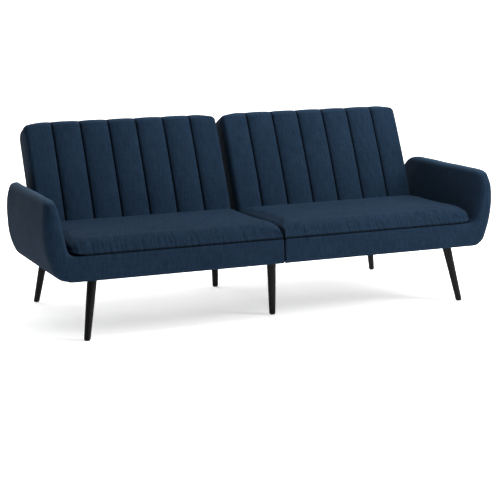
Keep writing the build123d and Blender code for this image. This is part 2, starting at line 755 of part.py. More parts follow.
both_sides = (1, -1)
corner_tops = [(side * x, y) for x, y in corner_leg_tops for side in both_sides]
write("leg_bolts", make_leg_bolts(corner_tops, centre_leg_tops))
all_feet = [(side * x, y) for x, y in (front_foot, rear_foot) for side in both_sides] + centre_leg_tops
write("leg_glides", make_glides(all_feet))
joining_span = [(-rail_faces[0], rail_faces[0])]
write("joining_bolts", make_cross_bolts(joining_span, joining_bolt_points))
arm_bolt_end = board_face_x(base_bottom) + arm_board_thickness
with BuildPart() as arm_bolts:
    for side in both_sides:
        rail_x = side * outer_rail_x
        head_x = rail_x - side * bolt_head_height
        low, high = sorted((rail_x, side * arm_bolt_end))
        prism_along_x(low, high, bolt_radius, bolt_sides, arm_bolt_points)
        low, high = sorted((head_x, rail_x))
        prism_along_x(low, high, bolt_head_radius, 6, arm_bolt_points)
write("arm_bolts", arm_bolts.part)
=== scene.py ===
"""Dresses a two-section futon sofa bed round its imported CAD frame.

It makes the upholstered arms, seat cushions and quilted backs and the turned legs, gives the metalwork
and timber that keep their CAD shape a finish, and adds floor, light and camera. Lengths are metres. Every
piece is worked out on the right-hand side and turned over for the left.
"""

import logging
import math
from collections.abc import Sequence
from dataclasses import dataclass, field
from enum import Enum

import bmesh
import bpy
import numpy as np
from mathutils import Matrix, Vector


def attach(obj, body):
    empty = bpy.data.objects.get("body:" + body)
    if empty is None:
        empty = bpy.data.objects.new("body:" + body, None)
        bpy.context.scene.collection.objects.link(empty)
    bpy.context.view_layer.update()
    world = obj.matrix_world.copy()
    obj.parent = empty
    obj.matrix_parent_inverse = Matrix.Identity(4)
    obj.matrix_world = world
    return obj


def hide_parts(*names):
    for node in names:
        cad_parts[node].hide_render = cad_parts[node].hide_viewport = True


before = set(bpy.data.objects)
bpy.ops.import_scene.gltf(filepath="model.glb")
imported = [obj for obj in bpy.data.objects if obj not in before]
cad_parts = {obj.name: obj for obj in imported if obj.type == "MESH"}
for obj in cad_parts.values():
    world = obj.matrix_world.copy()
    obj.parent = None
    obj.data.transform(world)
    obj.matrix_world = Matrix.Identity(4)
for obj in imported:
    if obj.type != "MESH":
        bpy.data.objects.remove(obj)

logging.basicConfig(level=logging.INFO, format="%(message)s")
log = logging.getLogger("futon")

Array = np.ndarray
Colour = tuple[float, float, float]
Pair = tuple[float, float]
Piece = bpy.types.Object

# What arms and seats share: the front, the arm's inner face at the deck, and its lean in degrees.
FRONT = -0.4605
INNER_FACE = 0.916
ARM_LEAN = 10.4


class Side(Enum):
    """The two sections, by the sign of x."""

    RIGHT = 1
    LEFT = -1

    @property
    def word(self) -> str:
        """Lower-case name used in node and piece names."""
        return self.name.lower()


# ------------------------------------------------------------------ shader graph
class Signal:
    """One output socket of a shader graph, usable in arithmetic."""

    def __init__(self, graph: "Graph", socket: bpy.types.NodeSocket) -> None:
        """Keeps the socket and the graph that it belongs to."""
        self.graph = graph
        self.socket = socket

    def apply(self, operation: str, *others: "Signal | float", flip: bool = False) -> "Signal":
        """Feeds this signal through a Math node.

        Args:
            operation: the Math node's operation.
            others: the other operands.
            flip: True where this signal is the second operand.

        Returns:
            The result as a signal.
        """
        operands: list[Signal | float] = [self, *others]
        if flip:
            operands.reverse()
        return self.graph.node("ShaderNodeMath", {"operation": operation}, dict(enumerate(operands)))

    def __add__(self, other: "Signal | float") -> "Signal":
        """Sum."""
        return self.apply("ADD", other)

    __radd__ = __add__

    def __sub__(self, other: "Signal | float") -> "Signal":
        """Difference."""
        return self.apply("SUBTRACT", other)

    def __rsub__(self, other: float) -> "Signal":
        """Difference from a number."""
        return self.apply("SUBTRACT", other, flip=True)

    def __mul__(self, other: "Signal | float") -> "Signal":
        """Product."""
        return self.apply("MULTIPLY", other)

    __rmul__ = __mul__

    def sine(self) -> "Signal":
        """Sine of an angle in radians."""
        return self.apply("SINE")

    def root(self) -> "Signal":
        """Square root."""
        return self.apply("SQRT")

    def ramp(self, low: float, high: float, start: float = 0.0, end: float = 1.0) -> "Signal":
        """Maps low..high to start..end, held at both ends."""
        span = {"Value": self, "From Min": low, "From Max": high, "To Min": start, "To Max": end}
        return self.graph.node("ShaderNodeMapRange", {"clamp": True}, span)


class Graph:
    """The node tree of one material or world, round the shader that it ends in."""

    def __init__(self, owner: bpy.types.Material | bpy.types.World, shader: str, output: str) -> None:
        """Empties the owner's tree and links a new shader to its output.

        Args:
            owner: the material or world.
            shader: type name of the shader node.
            output: type name of the output node.
        """
        owner.use_nodes = True
        self.owner = owner
        self.tree = owner.node_tree
        self.tree.nodes.clear()
        self.shader = self.tree.nodes.new(shader)
        end = self.tree.nodes.new(output)
        self.tree.links.new(self.shader.outputs[0], end.inputs["Surface"])

    @classmethod
    def of_material(cls, name: str) -> "Graph":
        """The graph of a new material with a Principled shader."""
        return cls(bpy.data.materials.new(name), "ShaderNodeBsdfPrincipled", "ShaderNodeOutputMaterial")

    def node(
        self,
        kind: str,
        settings: dict[str, object] | None = None,
        inputs: dict[str | int, object] | None = None,
        output: str | int = 0,
    ) -> Signal:
        """Adds a node, sets it up and connects it.

        Args:
            kind: the node's type name.
            settings: attributes, which are set first.
            inputs: value or signal for each named or numbered input.
            output: the output that is returned.

        Returns:
            The chosen output as a signal.
        """
        made = self.tree.nodes.new(kind)
        for key, value in (settings or {}).items():
            setattr(made, key, value)
        for key, value in (inputs or {}).items():
            self._feed(made.inputs[key], value)
        return Signal(self, made.outputs[output])

    def _feed(self, socket: bpy.types.NodeSocket, value: object) -> None:
        """Links a signal to a socket, or sets the socket's own value.

        Args:
            socket: the input socket.
            value: a signal, a number, a vector or a colour without its alpha.
        """
        if isinstance(value, Signal):
            self.tree.links.new(value.socket, socket)
        elif isinstance(value, tuple) and len(value) == 3 and socket.type == "RGBA":
            socket.default_value = (*value, 1.0)
        else:
            socket.default_value = value

    def set(self, **values: object) -> None:
        """Feeds the shader's inputs; underscores stand for spaces."""
        for key, value in values.items():
            self._feed(self.shader.inputs[key.replace("_", " ")], value)

    def place(self) -> Signal:
        """Object coordinates, in metres."""
        return self.node("ShaderNodeTexCoord", output="Object")

    def layer(self, name: str) -> Signal:
        """The piece's own UV map of that name, in metres."""
        return self.node("ShaderNodeUVMap", {"uv_map": name})

    def attribute(self, name: str) -> Signal:
        """A number stored on the piece's points."""
        return self.node("ShaderNodeAttribute", {"attribute_name": name}, output="Fac")

    def parts(self, vector: Signal) -> tuple[Signal, Signal, Signal]:
        """The three components of a vector."""
        split = self.node("ShaderNodeSeparateXYZ", None, {0: vector})
        return split, *(Signal(self, split.socket.node.outputs[index]) for index in (1, 2))

    def vector(self, x: "Signal | float", y: "Signal | float", z: "Signal | float" = 0.0) -> Signal:
        """Three numbers as a vector."""
        return self.node("ShaderNodeCombineXYZ", None, {0: x, 1: y, 2: z})

    def noise(self, vector: Signal, scale: float, detail: float = 2.0, rough: float = 0.5) -> Signal:
        """Fractal noise from 0 to 1."""
        inputs = {"Vector": vector, "Scale": scale, "Detail": detail, "Roughness": rough}
        return self.node("ShaderNodeTexNoise", {"noise_dimensions": "3D"}, inputs)

    def mix(self, factor: "Signal | float", first: "Signal | Colour", second: "Signal | Colour") -> Signal:
        """Blends two colours."""
        made = self.node("ShaderNodeMix", {"data_type": "RGBA"}, {0: factor, 6: first, 7: second})
        return Signal(self, made.socket.node.outputs[2])

    def bump(self, height: Signal, strength: float, distance: float, under: Signal | None = None) -> Signal:
        """Bends the normal by a height.

        Args:
            height: the height, from about 0 to 1.
            strength: share of the bending that is used.
            distance: what a height of 1 stands for, in metres.
            under: a normal that is bent already.

        Returns:
            The bent normal.
        """
        inputs: dict[str | int, object] = {"Height": height, "Strength": strength, "Distance": distance}
        if under is not None:
            inputs["Normal"] = under
        return self.node("ShaderNodeBump", None, inputs)


# ------------------------------------------------------------------ finishes
@dataclass(frozen=True)
class WovenFinish:
    """A plain-weave upholstery cloth with heathered threads.

    Slubs, coarse threads and gathers are noise that is drawn out along the threads: their pairs hold its
    scale across and along.
    """

    name: str
    dark: Colour = (0.0022, 0.0066, 0.0150)
    light: Colour = (0.0106, 0.0242, 0.0450)
    # Colour of the painted shade in seam grooves, hem grooves and creases.
    seam: Colour = (0.0002, 0.0004, 0.0009)
    thread: float = 0.0013
    slub: Pair = (620.0, 34.0)
    coarse: Pair = (230.0, 16.0)
    gather: Pair = (125.0, 11.0)
    fade_scale: float = 6.0
    mottle_scale: float = 160.0
    crease_scale: float = 26.0
    gather_depth: float = 0.0060
    crease_depth: float = 0.0020
    relief: float = 0.0004
    roughness: float = 0.92
    sheen: float = 0.018
    sheen_tint: Colour = (0.25, 0.50, 0.80)

    def build(self) -> bpy.types.Material:
        """Builds the cloth: crossing threads, slubs, broad fading, painted shade where a piece marks it, a
        painted highlight on its rubbed edges and a soft sheen.

        Warp and weft are sines across the two thread directions. Where their product is high the warp lies
        on top, and the height is the square of the thread on top.

        Returns:
            The material.
        """
        graph = Graph.of_material(self.name)
        u, v, _ = graph.parts(graph.layer("weave"))
        warp, weft = ((way * (math.pi / self.thread)).sine() for way in (u, v))
        over = (warp * weft * 3.0 + 0.5).ramp(0.0, 1.0)
        height = over * warp * warp + (1.0 - over) * weft * weft
        slub_warp, slub_weft = self.threads(graph, (u, v), self.slub, 3.0, (0.0, 0.0))
        coarse_warp, coarse_weft = self.threads(graph, (u, v), self.coarse, 2.0, (3.0, 7.0))
        slubs = over * slub_warp + (1.0 - over) * slub_weft
        coarse = (coarse_warp + coarse_weft) * 0.5
        fade = graph.noise(graph.place(), self.fade_scale, 4.0, 0.55)
        mottle = graph.noise(graph.place(), self.mottle_scale, 3.0, 0.6)
        # Each noise is stretched over the span that it mostly fills, and counts by its share.
        shade = (
            slubs.ramp(0.30, 0.70) * 0.18
            + coarse_warp.ramp(0.36, 0.64) * 0.34
            + coarse_weft.ramp(0.36, 0.64) * 0.16
            + mottle.ramp(0.34, 0.66) * 0.20
            + fade.ramp(0.3, 0.7) * 0.12
        )
        # Painted highlight on the rubbed top edges: the cloth is lightened towards the sheen tint where the
        # piece marks it, and its roughness drops as on worn cloth. worn holds the cloth colour with this
        # highlight.
        rub = graph.attribute("rub")
        worn = graph.mix(rub * 0.05, graph.mix(shade, self.dark, self.light), self.sheen_tint)
        creases = graph.noise(graph.place(), self.crease_scale, 5.0, 0.6)
        fine, long = self.gather
        gathers = graph.noise(graph.vector(u * fine, v * long, 5.0), 1.0, 3.0, 0.6)
        soft = graph.bump(creases, 0.45, self.crease_depth)
        soft = graph.bump(gathers * graph.attribute("gather"), 0.9, self.gather_depth, soft)
        graph.set(
            # Painted shade: the cloth turns towards the shade colour where the piece's shade mask is high.
            Base_Color=graph.mix(graph.attribute("seam"), worn, self.seam),
            Roughness=self.roughness - rub * 0.06 + (1.0 - height) * 0.05,
            Specular_IOR_Level=0.05,
            Sheen_Weight=self.sheen,
            Sheen_Roughness=0.40,
            Sheen_Tint=self.sheen_tint,
            Normal=graph.bump(height + slubs * 0.8 + coarse * 1.4, 0.6, self.relief, soft),
        )
        return graph.owner

    @staticmethod
    def threads(
        graph: Graph, ways: tuple[Signal, Signal], scales: Pair, detail: float, shifts: Pair
    ) -> tuple[Signal, Signal]:
        """Noise drawn out along the warp and along the weft.

        Args:
            graph: the cloth's graph.
            ways: the places across the warp and across the weft.
            scales: the noise's scale across and along a thread.
            detail: the noise's detail.
            shifts: third coordinates, which keep the two noises apart.

        Returns:
            The noise on the warp and on the weft.
        """
        (u, v), (fine, long) = ways, scales
        warp = graph.noise(graph.vector(u * fine, v * long, shifts[0]), 1.0, detail, 0.6)
        weft = graph.noise(graph.vector(u * long, v * fine, shifts[1]), 1.0, detail, 0.6)
        return warp, weft


@dataclass(frozen=True)
class LacquerFinish:
    """A dark satin lacquer, powder coat or plastic with fine orange peel and worn edges."""

    name: str
    colour: Colour
    worn: Colour
    roughness: float
    peel_scale: float = 420.0
    scuff_height: float = 0.05

    def build(self) -> bpy.types.Material:
        """Builds the coat: fine peel, broad smudges and scuffs near the floor.

        Returns:
            The material.
        """
        graph = Graph.of_material(self.name)
        place = graph.place()
        _, _, z = graph.parts(place)
        peel = graph.noise(place, self.peel_scale, 2.0, 0.5)
        smudge = graph.noise(place, 11.0, 4.0, 0.6)
        scratch = graph.noise(place, 85.0, 6.0, 0.7)
        scuff = scratch.ramp(0.60, 0.74) * (z.ramp(0.0, self.scuff_height, 1.0, 0.0) * 0.55 + 0.10)
        graph.set(
            Base_Color=graph.mix(scuff, self.colour, self.worn),
            Roughness=smudge.ramp(0.3, 0.7, self.roughness - 0.06, self.roughness + 0.10) + scuff * 0.2,
            Specular_IOR_Level=0.12,
            Normal=graph.bump(peel, 0.18, 0.0002),
        )
        return graph.owner


@dataclass(frozen=True)
class PlatedFinish:
    """Bright zinc plate on the small steel parts."""

    name: str = "zinc_plate"
    colour: Colour = (0.58, 0.58, 0.56)
    dull: Colour = (0.34, 0.35, 0.36)

    def build(self) -> bpy.types.Material:
        """Builds the plate: spangle, brushed lines and dull patches.

        Returns:
            The material.
        """
        graph = Graph.of_material(self.name)
        place = graph.place()
        x, y, z = graph.parts(place)
        brushed = graph.noise(graph.vector(x * 60.0, y * 900.0, z * 900.0), 1.0, 2.0, 0.6)
        spangle = graph.noise(place, 240.0, 3.0, 0.6)
        graph.set(
            Base_Color=graph.mix(spangle.ramp(0.35, 0.65), self.dull, self.colour),
            Roughness=brushed.ramp(0.3, 0.7, 0.28, 0.48),
            Metallic=1.0,
            Normal=graph.bump(brushed, 0.15, 0.0002),
        )
        return graph.owner


@dataclass(frozen=True)
class TimberFinish:
    """Sawn timber or plywood seen on the inner parts."""

    name: str
    pale: Colour
    grain: Colour
    layered: bool = False
    layer_pitch: float = 0.003

    def build(self) -> bpy.types.Material:
        """Builds the timber: long figure, fine pores and, on plywood, its glued layers.

        Returns:
            The material.
        """
        graph = Graph.of_material(self.name)
        x, y, z = graph.parts(graph.place())
        figure = graph.noise(graph.vector(x * 26.0, y * 2.2, z * 26.0), 1.0, 5.0, 0.6)
        pores = graph.noise(graph.vector(x * 420.0, y * 22.0, z * 420.0), 1.0, 3.0, 0.6)
        shade = figure.ramp(0.32, 0.68) * 0.75 + pores.ramp(0.4, 0.7) * 0.25
        if self.layered:
            layers = (z * (2.0 * math.pi / self.layer_pitch)).sine().ramp(-1.0, 1.0)
            shade = shade * 0.7 + layers * 0.3
        graph.set(
            Base_Color=graph.mix(shade, self.pale, self.grain),
            Roughness=pores.ramp(0.3, 0.7, 0.55, 0.75),
            Normal=graph.bump(pores, 0.25, 0.0004),
        )
        return graph.owner


@dataclass(frozen=True)
class LiningFinish:
    """The thin black spun cloth under the base."""

    name: str = "spun_lining"
    dark: Colour = (0.012, 0.012, 0.013)
    light: Colour = (0.035, 0.035, 0.037)
    dot_rate: float = 2400.0

    def build(self) -> bpy.types.Material:
        """Builds the lining: pressed dots, the product of two sines, and loose fibres.

        Returns:
            The material.
        """
        graph = Graph.of_material(self.name)
        place = graph.place()
        x, y, _ = graph.parts(place)
        dots = (x * self.dot_rate).sine() * (y * self.dot_rate).sine()
        fibres = graph.noise(place, 520.0, 4.0, 0.7)
        graph.set(
            Base_Color=graph.mix(fibres.ramp(0.3, 0.7), self.dark, self.light),
            Roughness=fibres.ramp(0.0, 1.0, 0.85, 0.98),
            Normal=graph.bump(dots * 0.5 + fibres, 0.35, 0.0003),
        )
        return graph.owner


@dataclass(frozen=True)
class FoamFinish:
    """Open-cell foam inside the back."""

    name: str = "cell_foam"
    colour: Colour = (0.62, 0.56, 0.40)
    pit: Colour = (0.36, 0.31, 0.20)

    def build(self) -> bpy.types.Material:
        """Builds the foam: round pits over a matt skin.

        Returns:
            The material.
        """
        graph = Graph.of_material(self.name)
        cells = graph.node("ShaderNodeTexVoronoi", None, {"Vector": graph.place(), "Scale": 650.0})
        graph.set(
            Base_Color=graph.mix(cells.ramp(0.1, 0.5), self.pit, self.colour),
            Roughness=cells.ramp(0.0, 1.0, 0.95, 0.8),
            Normal=graph.bump(cells, 0.5, 0.0006),
        )
        return graph.owner


class Finishes:
    """Every finish of the sofa, built once."""

    def __init__(self) -> None:
        """Builds the materials."""
        self.arm_cloth, self.seat_cloth, self.back_cloth = (
            WovenFinish(f"{word}_cloth").build() for word in ("arm", "seat", "back")
        )
        self.black_lacquer = LacquerFinish(
            "black_lacquer", colour=(0.0016, 0.0016, 0.0018), worn=(0.02, 0.02, 0.02), roughness=0.42
        ).build()
        self.powder_coat = LacquerFinish(
            "powder_coat", (0.012, 0.012, 0.013), (0.10, 0.10, 0.10), roughness=0.45, peel_scale=900.0
        ).build()
        self.glide_plastic = LacquerFinish(
            "glide_plastic", (0.020, 0.020, 0.021), (0.12, 0.12, 0.12), roughness=0.55, peel_scale=600.0
        ).build()
        self.zinc_plate = PlatedFinish().build()
        self.birch = TimberFinish("birch_slats", (0.62, 0.46, 0.28), (0.46, 0.31, 0.17)).build()
        self.plywood = TimberFinish("plywood", (0.58, 0.43, 0.26), (0.36, 0.23, 0.12), True).build()
        self.lining = LiningFinish().build()
        self.foam = FoamFinish().build()


# ------------------------------------------------------------------ mesh tools
def ring_faces(rows: int, columns: int) -> Array:
    """Quads of a tube of rings, each ring closed on itself.

    Args:
        rows: number of rings.
        columns: points in a ring.

    Returns:
        One row of four point numbers per quad.
    """
    row = np.arange(rows - 1)[:, None] * columns
    column = np.arange(columns)[None, :]
    after = (column + 1) % columns
    above = row + columns
    return np.stack([row + column, row + after, above + after, above + column], axis=-1).reshape(-1, 4)


def folded_cap(first: int, columns: int, fold: int) -> Array:
    """Quads straight across one ring, as if it were folded flat.

    Args:
        first: number of the ring's first point.
        columns: points in the ring, an even number.
        fold: the point before the fold, which meets the point after it.

    Returns:
        One row of four point numbers per quad.
    """
    step = np.arange(columns // 2 - 1)
    near, far = fold - step, fold + 1 + step
    return first + np.stack([near, far, far + 1, near - 1], axis=-1) % columns


def capped(rings: Array) -> tuple[Array, Array, list[Array]]:
    """Closes a tube of rings.

    Args:
        rings: rings by points by three.

    Returns:
        Its points, its quads and its two end caps.
    """
    rows, columns = rings.shape[:2]
    last = (rows - 1) * columns
    caps = [np.arange(columns)[::-1], np.arange(last, last + columns)]
    return rings.reshape(-1, 3), ring_faces(rows, columns), caps


def mirrored(points: Array, side: Side) -> Array:
    """Right-hand points, turned over to the left side where asked."""
    return points * np.array([side.value, 1.0, 1.0])


def added(name: str, data: bpy.types.ID) -> Piece:
    """Adds an object to the scene.

    Args:
        name: the object's name.
        data: its mesh, light or camera.

    Returns:
        The object, at the origin.
    """
    made = bpy.data.objects.new(name, data)
    bpy.context.scene.collection.objects.link(made)
    return made


def shade_round(mesh: bpy.types.Mesh) -> None:
    """Shades all of a mesh's faces smoothly."""
    mesh.polygons.foreach_set("use_smooth", np.ones(len(mesh.polygons), dtype=bool))


def make_piece(name: str, points: Array, quads: Array, caps: Sequence[Array] = ()) -> Piece:
    """Puts worked-out points and faces into a new object at the origin.

    Args:
        name: the piece's name.
        points: one row per point, in metres.
        quads: one row of four point numbers per face.
        caps: further faces of any number of points.

    Returns:
        The object, smooth shaded, with its doubles merged and its faces outward.
    """
    corners = np.concatenate([quads.ravel(), *caps]).astype(np.int32)
    totals = np.array([4] * len(quads) + [len(cap) for cap in caps], dtype=np.int32)
    starts = np.concatenate([[0], np.cumsum(totals)[:-1]]).astype(np.int32)
    mesh = bpy.data.meshes.new(name)
    mesh.vertices.add(len(points))
    mesh.vertices.foreach_set("co", points.astype(np.float32).ravel())
    mesh.loops.add(len(corners))
    mesh.loops.foreach_set("vertex_index", corners)
    mesh.polygons.add(len(totals))
    mesh.polygons.foreach_set("loop_start", starts)
    mesh.polygons.foreach_set("loop_total", totals)
    mesh.update(calc_edges=True)
    mesh.validate()
    weld(mesh)
    shade_round(mesh)
    return added(name, mesh)


def weld(mesh: bpy.types.Mesh, distance: float = 1e-5) -> None:
    """Merges doubled points and turns every face outward.

    Args:
        mesh: the mesh to mend.
        distance: how near two points are to be merged.
    """
    work = bmesh.new()
    work.from_mesh(mesh)
    bmesh.ops.remove_doubles(work, verts=work.verts, dist=distance)
    bmesh.ops.dissolve_degenerate(work, edges=work.edges, dist=distance / 10)
    bmesh.ops.recalc_face_normals(work, faces=work.faces)
    work.to_mesh(mesh)
    work.free()
    mesh.update()


def read(items: bpy.types.bpy_prop_collection, key: str, width: int = 1, kind: type = np.float32) -> Array:
    """Reads one property of many items.

    Args:
        items: a mesh's points, corners, faces or normals.
        key: the property's name.
        width: how many numbers an item has.
        kind: the numbers' type.

    Returns:
        One row per item, or a flat array where the width is 1.
    """
    flat = np.empty(len(items) * width, dtype=kind)
    items.foreach_get(key, flat)
    return flat if width == 1 else flat.reshape(-1, width)


def coordinates(mesh: bpy.types.Mesh) -> Array:
    """A mesh's points as an array of rows."""
    return read(mesh.vertices, "co", 3).astype(np.float64)


def point_normals(mesh: bpy.types.Mesh) -> Array:
    """A mesh's outward directions at its points."""
    return read(mesh.vertex_normals, "vector", 3).astype(np.float64)


def move_points(mesh: bpy.types.Mesh, points: Array) -> None:
    """Writes new places for a mesh's points."""
    mesh.vertices.foreach_set("co", points.astype(np.float32).ravel())
    mesh.update()


def settle(piece: Piece) -> None:
    """Applies all of a piece's modifiers to its mesh.

    Args:
        piece: the piece, which gets a new mesh.
    """
    graph = bpy.context.evaluated_depsgraph_get()
    made = bpy.data.meshes.new_from_object(piece.evaluated_get(graph))
    old = piece.data
    piece.modifiers.clear()
    piece.data = made
    bpy.data.meshes.remove(old)
    made.name = piece.name
    shade_round(made)


def revoxel(piece: Piece, size: float, smoothing: int) -> None:
    """Rebuilds a piece's skin as even quads and relaxes it.

    Args:
        piece: a closed piece, or closed pieces in one mesh that overlap.
        size: voxel size in metres.
        smoothing: number of relaxing passes.
    """
    skin = piece.modifiers.new("skin", "REMESH")
    skin.mode = "VOXEL"
    skin.voxel_size = size
    relax = piece.modifiers.new("relax", "SMOOTH")
    relax.factor = 0.5
    relax.iterations = smoothing
    settle(piece)


@dataclass(frozen=True)
class Filling:
    """How a cushion's filling presses on its cloth, and how far the cloth gives."""

    pressure: float = 4.0
    furthest: float = 0.022
    mass: float = 0.3
    stretch: float = 15.0
    bend: float = 0.5
    quality: int = 5
    frames: int = 20

    def inflate(self, piece: Piece, hold: Array) -> None:
        """Blows a closed piece up as cloth and keeps the result.

        Each point moves by its way in the simulation, cut off at the furthest, times 1 less its hold.

        Args:
            piece: a closed piece of even quads.
            hold: 0 to 1 for each point, where 1 doesn't move.
        """
        start = coordinates(piece.data)
        cloth = piece.modifiers.new("cloth", "CLOTH")
        settings = cloth.settings
        settings.quality = self.quality
        settings.mass = self.mass
        settings.tension_stiffness = settings.compression_stiffness = self.stretch
        settings.bending_stiffness = self.bend
        settings.use_pressure = True
        settings.uniform_pressure_force = self.pressure
        settings.effector_weights.gravity = 0.0
        cloth.collision_settings.use_collision = False
        scene = bpy.context.scene
        for step in range(1, self.frames + 1):
            scene.frame_set(step)
        evaluated = piece.evaluated_get(bpy.context.evaluated_depsgraph_get())
        moved = coordinates(evaluated.data) - start
        piece.modifiers.clear()
        scene.frame_set(1)
        length = np.linalg.norm(moved, axis=1, keepdims=True)
        moved *= np.minimum(1.0, self.furthest / np.maximum(length, 1e-9))
        move_points(piece.data, start + moved * (1.0 - hold[:, None]))


def lay_weave(piece: Piece) -> None:
    """Lays the cloth's threads flat on each face, along the two axes that it faces least.

    Args:
        piece: the piece, which gets a UV map named weave, in metres.
    """
    mesh = piece.data
    corner = read(mesh.loops, "vertex_index", kind=np.int32)
    totals = read(mesh.polygons, "loop_total", kind=np.int32)
    facing = np.repeat(np.abs(read(mesh.polygons, "normal", 3)).argmax(axis=1), totals)
    pairs = np.array([[1, 2], [0, 2], [0, 1]])
    spread = np.take_along_axis(coordinates(mesh)[corner], pairs[facing], axis=1)
    layer = mesh.uv_layers.new(name="weave")
    layer.uv.foreach_set("vector", spread.astype(np.float32).ravel())


def store(piece: Piece, name: str, values: Array) -> None:
    """Stores a number for each point of a piece."""
    layer = piece.data.attributes.new(name, "FLOAT", "POINT")
    layer.data.foreach_set("value", values.astype(np.float32))


def dress(piece: Piece, material: bpy.types.Material) -> None:
    """Gives a whole piece one material."""
    piece.data.materials.clear()
    piece.data.materials.append(material)


def report(piece: Piece) -> None:
    """Logs one finished piece."""
    log.info("made %s: %d faces", piece.name, len(piece.data.polygons))


def eased(values: Array, zero: float, one: float) -> Array:
    """Smooth step: 3t squared less 2t cubed, where t runs straight from 0 at one value to 1 at another."""
    t = np.clip((values - zero) / (one - zero), 0.0, 1.0)
    return t * t * (3.0 - 2.0 * t)


def arc_inset(distance: Array, radius: float, reach: float | None = None) -> Array:
    """How far a rounded edge stands back at a distance from its end.

    An ellipse quarter: reach times (1 less the root of 1 less g squared), where g falls from 1 at
    the end to 0 at the radius.

    Args:
        distance: how far each point is from the end.
        radius: the distance at which the rounding begins.
        reach: how far the edge stands back at the end, which is the radius where none is given.

    Returns:
        The set-back at each point.
    """
    gap = np.clip(1.0 - distance / radius, 0.0, 1.0)
    return (radius if reach is None else reach) * (1.0 - np.sqrt(1.0 - gap**2))


@dataclass(frozen=True)
class Crease:
    """A rounded edge that is drawn out towards its sharp corner."""

    radius: float
    share: float

    def drawn(self, first: Array, second: Array, where: Array | float = 1.0) -> tuple[Array, Array]:
        """Draws the points beside the edge outwards.

        With a and b a point's distances from the arc's centre along the two faces, the point goes
        outwards by its distance over the larger of a and b, less 1, times the share. No point passes
        a face that it was behind.

        Args:
            first: distances of the points behind the first face.
            second: distances behind the second face.
            where: factor on the share at each point.

        Returns:
            The new distances behind both faces.
        """
        a, b = (np.clip(self.radius - behind, 0.0, None) for behind in (first, second))
        grow = 1.0 + self.share * where * (np.hypot(a, b) / np.maximum(np.maximum(a, b), 1e-6) - 1.0)
        inside = (a > 0.0) & (b > 0.0)
        new_first = np.maximum(self.radius - a * grow, np.minimum(first, 0.0))
        new_second = np.maximum(self.radius - b * grow, np.minimum(second, 0.0))
        return np.where(inside, new_first, first), np.where(inside, new_second, second)


def rounded_rings(
    across: tuple[Array, Array],
    along: tuple[Array, Array],
    levels: Array,
    corners: Sequence[Pair],
    steps: int,
    side: int,
) -> Array:
    """Rings of a rounded rectangle, one at each level.

    Each ring runs round four elliptical quarters: a corner's centre plus its reach times the
    cosine and sine of an angle, with straight sides between them. Reaches shrink together where
    a ring is too narrow for them.

    Args:
        across: inner and outer side at each level.
        along: front and rear at each level.
        levels: heights of the rings.
        corners: reach in x and y of the front outer, rear outer, rear inner and front inner corner.
        steps: points in each corner.
        side: points along each straight side.

    Returns:
        An array of rings by points by three.
    """
    (low_x, high_x), (low_y, high_y) = across, along
    reach_x, reach_y = np.array(corners).T
    tight_x = max(reach_x[0] + reach_x[3], reach_x[1] + reach_x[2])
    tight_y = max(reach_y[0] + reach_y[1], reach_y[2] + reach_y[3])
    rx = reach_x[None, :] * np.minimum(1.0, 0.999 * (high_x - low_x) / tight_x)[:, None]
    ry = reach_y[None, :] * np.minimum(1.0, 0.999 * (high_y - low_y) / tight_y)[:, None]
    quarters = []
    for index, (sx, sy) in enumerate(((1, -1), (1, 1), (-1, 1), (-1, -1))):
        centre_x = (high_x if sx > 0 else low_x) - sx * rx[:, index]
        centre_y = (high_y if sy > 0 else low_y) - sy * ry[:, index]
        angle = np.radians(-90.0 + 90.0 * index) + np.linspace(0.0, np.pi / 2, steps)[None, :]
        x = centre_x[:, None] + rx[:, index, None] * np.cos(angle)
        y = centre_y[:, None] + ry[:, index, None] * np.sin(angle)
        quarters.append(np.stack([x, y], axis=-1))
    t = np.linspace(0.0, 1.0, side + 2)[1:-1][None, :, None]
    joined = []
    for index, quarter in enumerate(quarters):
        following = quarters[(index + 1) % 4]
        joined += [quarter, quarter[:, -1:, :] * (1.0 - t) + following[:, :1, :] * t]
    ring = np.concatenate(joined, axis=1)
    heights = np.broadcast_to(levels[:, None, None], (*ring.shape[:2], 1))
    return np.concatenate([ring, heights], axis=2)


